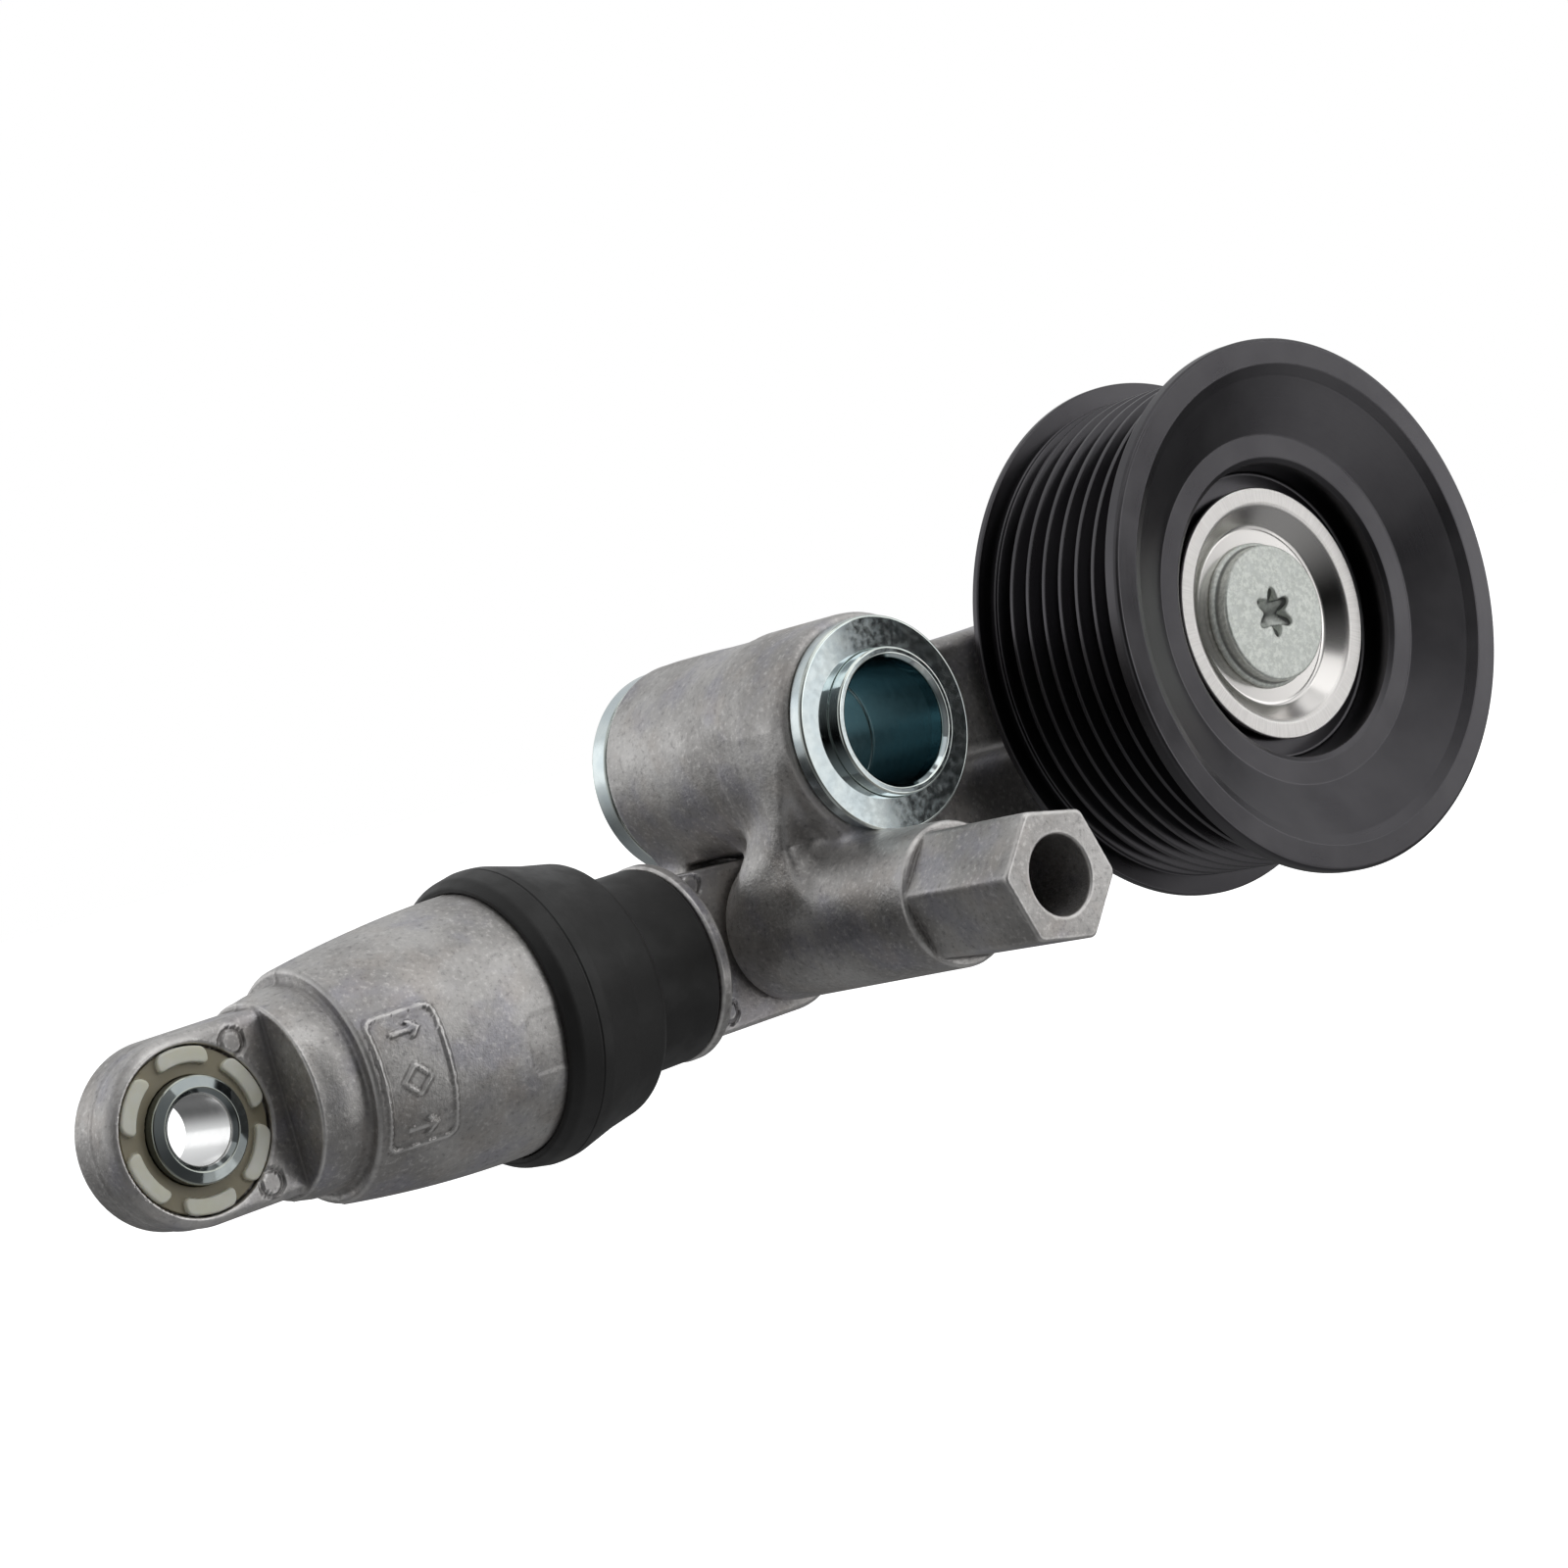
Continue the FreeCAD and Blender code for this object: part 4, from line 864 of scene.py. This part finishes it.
def pulley_black():
    """Turned steel under a thin black coat, which shows the tool's rings."""
    p = Paint("pulley_black")
    angle, across, along = p.polar(PULLEY)
    fine = 3500
    turned = p.combine(
        p.math("MULTIPLY", across, fine), p.math("MULTIPLY", along, fine), p.math("MULTIPLY", angle, 0.3))
    rings = p.noise(1.0, 3, 0.65, turned)
    cloud = p.noise(90, 3, 0.5)
    colour = p.mix(p.ramp(cloud, 0.3, 0.7), (0.082, 0.079, 0.085, 1), (0.102, 0.099, 0.105, 1))
    colour = p.mix(p.ramp(p.attribute("wear"), 0.35, 1.0, 0, 0.5), colour, (0.17, 0.17, 0.17, 1))
    rough = p.math("ADD", p.ramp(cloud, 0.3, 0.7, 0.24, 0.29), p.math("MULTIPLY", rings, 0.08))
    tangent = p.node("Tangent", {"direction_type": "RADIAL", "axis": "Y"}).outputs[0]
    return p.finish(
        Base_Color=colour, Metallic=1.0, Roughness=rough, Anisotropic=0.8, Tangent=tangent,
        Normal=p.bump(rings, 0.00001, 0.4))


def rubber(name, value):
    """Moulded black rubber with a fine matt skin and a few pale specks of dust."""
    p = Paint(name)
    cloud = p.noise(110, 3, 0.5)
    colour = p.mix(p.ramp(cloud, 0.3, 0.7), grey(value, 0.03), grey(value * 1.35, 0.03))
    dust = p.ramp(p.noise(2300, 1, 0.5), 0.80, 0.84, 0, 0.3)
    colour = p.mix(dust, colour, (0.25, 0.25, 0.25, 1))
    rough = p.ramp(p.noise(300, 3), 0.3, 0.7, 0.46, 0.58)
    relief = p.bump(p.noise(3200, 2, 0.5), 0.00003, 0.4)
    return p.finish(
        Base_Color=colour, Roughness=rough, Normal=relief, Sheen_Weight=0.05, Sheen_Roughness=0.5)


def nylon():
    """Unfilled nylon: creamy, slightly see-through, with faint flow marks."""
    p = Paint("nylon")
    cloud = p.noise(300, 3, 0.5)
    colour = p.mix(p.ramp(cloud, 0.3, 0.7), (0.88, 0.86, 0.70, 1), (0.95, 0.94, 0.82, 1))
    along = p.polar(EYE)[2]
    # Painted shade: parts deeper than the lobes' faces are painted dark brown. The same brown also stands for the
    # thicker nylon there.
    sunk_shade_and_tone = p.ramp(p.math("ABSOLUTE", along), 0.0047, 0.0044)
    colour = p.mix(p.math("MULTIPLY", sunk_shade_and_tone, 0.85), colour, (0.20, 0.155, 0.07, 1))
    colour = p.mix(p.ramp(p.attribute("wear"), -0.1, -1.0, 0, 0.4), colour, (0.22, 0.17, 0.08, 1))
    return p.finish(
        Base_Color=colour, Roughness=p.ramp(cloud, 0.3, 0.7, 0.35, 0.5), Subsurface_Weight=0.25,
        Subsurface_Scale=0.002, Subsurface_Radius=(1.0, 0.8, 0.5),
        Normal=p.bump(p.noise(1500, 2), 0.00002, 0.3))


def plain_metal(name, low, high, rough):
    """A metal with fine mottling, for pieces inside or behind."""
    p = Paint(name)
    scale = 600
    cloud = p.noise(scale, 4, 0.6)
    colour = p.mix(p.ramp(cloud, 0.3, 0.7), low, high)
    rough = p.ramp(cloud, 0.3, 0.7, rough, rough + 0.12)
    relief = p.bump(p.noise(scale * 3, 2), 0.00002, 0.3)
    return p.finish(Base_Color=colour, Metallic=1.0, Roughness=rough, Normal=relief)


def polymer(name, low, high, rough):
    """A dull moulded polymer, for pieces inside."""
    p = Paint(name)
    cloud = p.noise(350, 4, 0.6)
    colour = p.mix(p.ramp(cloud, 0.3, 0.7), low, high)
    rough = p.ramp(cloud, 0.3, 0.7, rough, rough + 0.1)
    return p.finish(Base_Color=colour, Roughness=rough, Normal=p.bump(p.noise(1800, 2), 0.00003, 0.3))


MATERIALS = {
    "cast_aluminium": cast_aluminium(),
    "zinc_steel": zinc_plate("zinc_steel", PIVOT, 1.0, SLEEVE_BORE, (0.24, 0.37, 0.41, 1), 0.0003),
    "bolt_zinc": bolt_zinc(),
    "shield_steel": shield_steel(),
    "bearing_steel": plain_metal("bearing_steel", grey(0.62), grey(0.72), 0.12),
    "cage_steel": plain_metal("cage_steel", grey(0.36, 0.04), grey(0.46, 0.04), 0.35),
    "tool_steel": plain_metal("tool_steel", grey(0.48), grey(0.60), 0.22),
    "spring_steel": plain_metal("spring_steel", grey(0.05), grey(0.09), 0.32),
    "pulley_black": pulley_black(),
    "boot_rubber": rubber("boot_rubber", 0.011),
    "seal_rubber": rubber("seal_rubber", 0.02),
    "nylon": nylon(),
    "bush_bronze": plain_metal("bush_bronze", (0.42, 0.28, 0.15, 1), (0.55, 0.40, 0.22, 1), 0.3),
    "thrust_polymer": polymer("thrust_polymer", grey(0.06), grey(0.10), 0.5),
}
EYE_ZINC = zinc_plate("eye_zinc", EYE, 0.4, 4.5, grey(0.85), -0.006)


# ------------------------------------------------------------------ the assembly

SLOTS = {part["node"]: part["material_slot"] for part in frame["record"]["subparts"]}
for node, piece in frame["nodes"].items():
    piece.data.materials.clear()
    piece.data.materials.append(MATERIALS[SLOTS[node]])


def stands_for(piece, node, body, material=None):
    """A piece takes the place, the finish and the body of a CAD node."""
    piece.data.materials.append(material or MATERIALS[SLOTS[node]])
    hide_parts(node)
    if body:
        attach(piece, body)
    return piece


SCULPTED = (
    # name, shape, sample places along X, Y and Z, CAD node, body
    ("arm_cast", arm_distance,
     [(-20, 0.42), (5, 0.62), (101, 0.62)],
     [(-34, 0.42), (-10, 0.62), (46, 0.62)],
     [(-37, 0.42), (-12, 0.62), (19, 0.62)],
     "arm_casting", "arm"),
    ("strut_housing_cast", housing_distance,
     [(-119.5, 0.5), (-104, 0.4), (-49, 0.4)],
     [(11.5, 0.36), (31, 0.5), (51, 0.5)],
     [(-44, 0.4), (-4, 0.4)],
     "strut_housing", "strut_lower"),
    ("rod_end_cast", rod_end_distance,
     [(-39, 0.36), (6, 0.4)],
     [(16, 0.36), (47, 0.4)],
     [(-40, 0.36), (-9, 0.4)],
     "strut_rod_end", "strut_upper"),
    ("pulley_bolt_plated", bolt_distance,
     [(73.5, 0.3), (98, 0.3)],
     [(3.5, 0.25), (12, 0.6), (40, 0.6)],
     [(-14, 0.3), (10.4, 0.3)],
     "pulley_bolt", "arm"),
    ("eye_bush_moulded", eye_bush_distance,
     [(-117.2, 0.28), (-94.2, 0.28)],
     [(25.4, 0.25), (37.2, 0.25)],
     [(-35.6, 0.28), (-12.6, 0.28)],
     "lower_eye_bush", "strut_lower"),
)
for name, shape, along_x, along_y, along_z, node, body in SCULPTED:
    stands_for(sculpted(name, shape, along_x, along_y, along_z), node, body)
stands_for(make_pulley(), "pulley", "pulley")
stands_for(make_dust_shield(), "dust_shield", "arm")
stands_for(make_pivot_sleeve(), "pivot_sleeve", "pivot")
stands_for(make_thrust_washer(), "thrust_washer", "pivot")
stands_for(make_eye_sleeve(), "lower_eye_sleeve", "eye_sleeve", EYE_ZINC)

# These three stretch between two bodies.
boot = stands_for(make_boot(), "boot", None)
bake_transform(boot)
spring = stands_for(make_spring("main_spring", 1.6, 11.9, 6.0), "main_spring", None)
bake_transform(spring)
spring = stands_for(make_spring("check_valve_spring", 0.2, 1.2, 3.0), "check_valve_spring", None)
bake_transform(spring)


# ------------------------------------------------------------------ studio and camera

def look_at(obj, place, target):
    """Puts an object at a place, facing a target."""
    obj.location = place
    obj.rotation_euler = (Vector(target) - Vector(place)).to_track_quat("-Z", "Y").to_euler()


def soft_light(name, place, target, size, power):
    """A rectangular lamp that the camera doesn't see."""
    lamp = bpy.data.lights.new(name, "AREA")
    lamp.shape = "RECTANGLE"
    lamp.size, lamp.size_y = size
    lamp.energy = power
    light = bpy.data.objects.new(name, lamp)
    bpy.context.scene.collection.objects.link(light)
    look_at(light, place, target)
    light.visible_camera = False


CAMERA_PLACE = (-0.34435, -0.39355, 0.0175)
CAMERA_RIGHT = Vector((0.7360, -0.6204, -0.2708))
CAMERA_BACK = Vector((-0.6349, -0.7714, 0.0417))
CAMERA_LENS, CAMERA_SENSOR = 87.39, 36.0


def make_camera():
    """The camera in front and to the left, level with the pivot."""
    camera_data = bpy.data.cameras.new("camera")
    camera_data.lens, camera_data.sensor_width = CAMERA_LENS, CAMERA_SENSOR
    camera_data.clip_start, camera_data.clip_end = 0.02, 20.0
    camera = bpy.data.objects.new("camera", camera_data)
    bpy.context.scene.collection.objects.link(camera)
    up = CAMERA_BACK.cross(CAMERA_RIGHT).normalized()
    turn = Matrix((CAMERA_RIGHT, up, CAMERA_BACK)).transposed()
    camera.matrix_world = Matrix.Translation(CAMERA_PLACE) @ turn.to_4x4()
    bpy.context.scene.camera = camera


# Soft lobes of light round the object: direction, cosine where each begins and is full, strength.
SKY_ABOVE = ((0, 0, 1), 0.0, 1.0, 0.16)
SKY_BELOW = ((0, 0, -1), 0.0, 1.0, 0.29)
SKY_ROUND = (
    ((0.64, 0.77, 0.05), 0.0, 0.9, 0.60),
    ((-0.85, 0.5, 0.1), 0.2, 0.95, 0.55),
    ((0.77, -0.64, 0.1), 0.2, 0.95, 0.35),
)


def make_world():
    """White to the camera; soft lobes of light to everything else."""
    world = bpy.data.worlds.new("studio")
    bpy.context.scene.world = world
    world.use_nodes = True
    sky = Nodes(world.node_tree)
    direction = sky.node("TexCoord").outputs["Generated"]

    def lobe(towards, begins, full, strength):
        towards = tuple(Vector(towards).normalized())
        facing = sky.node("VectorMath", {"operation": "DOT_PRODUCT"}, i0=direction, i1=towards)
        return sky.ramp(facing.outputs["Value"], begins, full, 0.0, strength)

    total = 0.0
    for settings in SKY_ROUND:
        total = sky.math("ADD", lobe(*settings), total)
    height = sky.node("SeparateXYZ", None, i0=direction).outputs[2]
    total = sky.math("MULTIPLY", total, sky.ramp(height, -0.45, 0.12))
    for settings in (SKY_ABOVE, SKY_BELOW):
        total = sky.math("ADD", lobe(*settings), total)
    lit = sky.node("Background", None, Color=(0.98, 0.99, 1, 1), Strength=total)
    seen = sky.node("Background", None, Color=(1, 1, 1, 1))
    camera_ray = sky.node("LightPath").outputs["Is Camera Ray"]
    mixed = sky.node("MixShader", None, i0=camera_ray, i1=lit.outputs[0], i2=seen.outputs[0])
    sky.node("OutputWorld", None, i0=mixed.outputs[0])


def flat_sheet(name, corners, material):
    """A flat part of the studio."""
    mesh = bpy.data.meshes.new(name)
    mesh.from_pydata(corners, [], [(0, 1, 2, 3)])
    mesh.materials.append(material)
    sheet = bpy.data.objects.new(name, mesh)
    bpy.context.scene.collection.objects.link(sheet)
    return sheet


def make_floor():
    """A pale floor that the object's sides don't mirror, below the pulley of the swung arm."""
    low, far = cad_low.z - 0.036, 3.0
    material = Paint("floor").finish(
        Base_Color=grey(0.9), Roughness=0.9, Emission_Color=grey(1.0), Emission_Strength=0.85)
    corners = [(-far, -far, low), (far, -far, low), (far, far, low), (-far, far, low)]
    floor = flat_sheet("floor", corners, material)
    floor.visible_diffuse = False
    floor.visible_glossy = False


def make_dark_card():
    """A black card whose edge the washer's bright face mirrors; that edge leans a little."""
    material = Paint("dark_card").finish(Base_Color=grey(0.01), Roughness=0.9)
    near_low, near_high, far = 0.389, 0.380, 0.56
    depth, half_height = -0.455, 0.15
    corners = [
        (near_low, depth, -half_height),
        (far, depth, -half_height),
        (far, depth, half_height),
        (near_high, depth, half_height),
    ]
    card = flat_sheet("dark_card", corners, material)
    card.visible_camera = False
    card.visible_diffuse = False


CENTRE = (cad_low + cad_high) / 2
ROUND_LAMPS = (
    # name, way from the centre, width, watts
    ("top", (0.05, 0.1, 1), 0.6, 0.8),
    ("top_left", (-0.5, -0.35, 0.8), 0.5, 0.4),
    ("back_left", (-0.54, 0.79, 0.31), 0.45, 0.3),
    ("top_front", (0.1, -0.55, 0.83), 0.6, 1.2),
    ("top_right", (0.6, -0.45, 0.65), 0.5, 0.5),
    ("front_right", (0.45, -0.85, 0.25), 0.45, 0.6),
    ("right_low", (0.6, -0.65, -0.45), 0.45, 0.35),
)
make_camera()
make_world()
make_floor()
make_dark_card()
for name, way, width, watts in ROUND_LAMPS:
    soft_light(name, CENTRE + Vector(way), CENTRE, (width, width), watts)
soft_light("right_front", (0.72, -0.45, 0.05), CENTRE, (0.3, 0.5), 0.6)
soft_light("front_low", (0.2535, -0.451, -0.12), (0.2535, 0, -0.12), (0.267, 0.40), 0.26)
bpy.context.scene.view_settings.view_transform = "Standard"
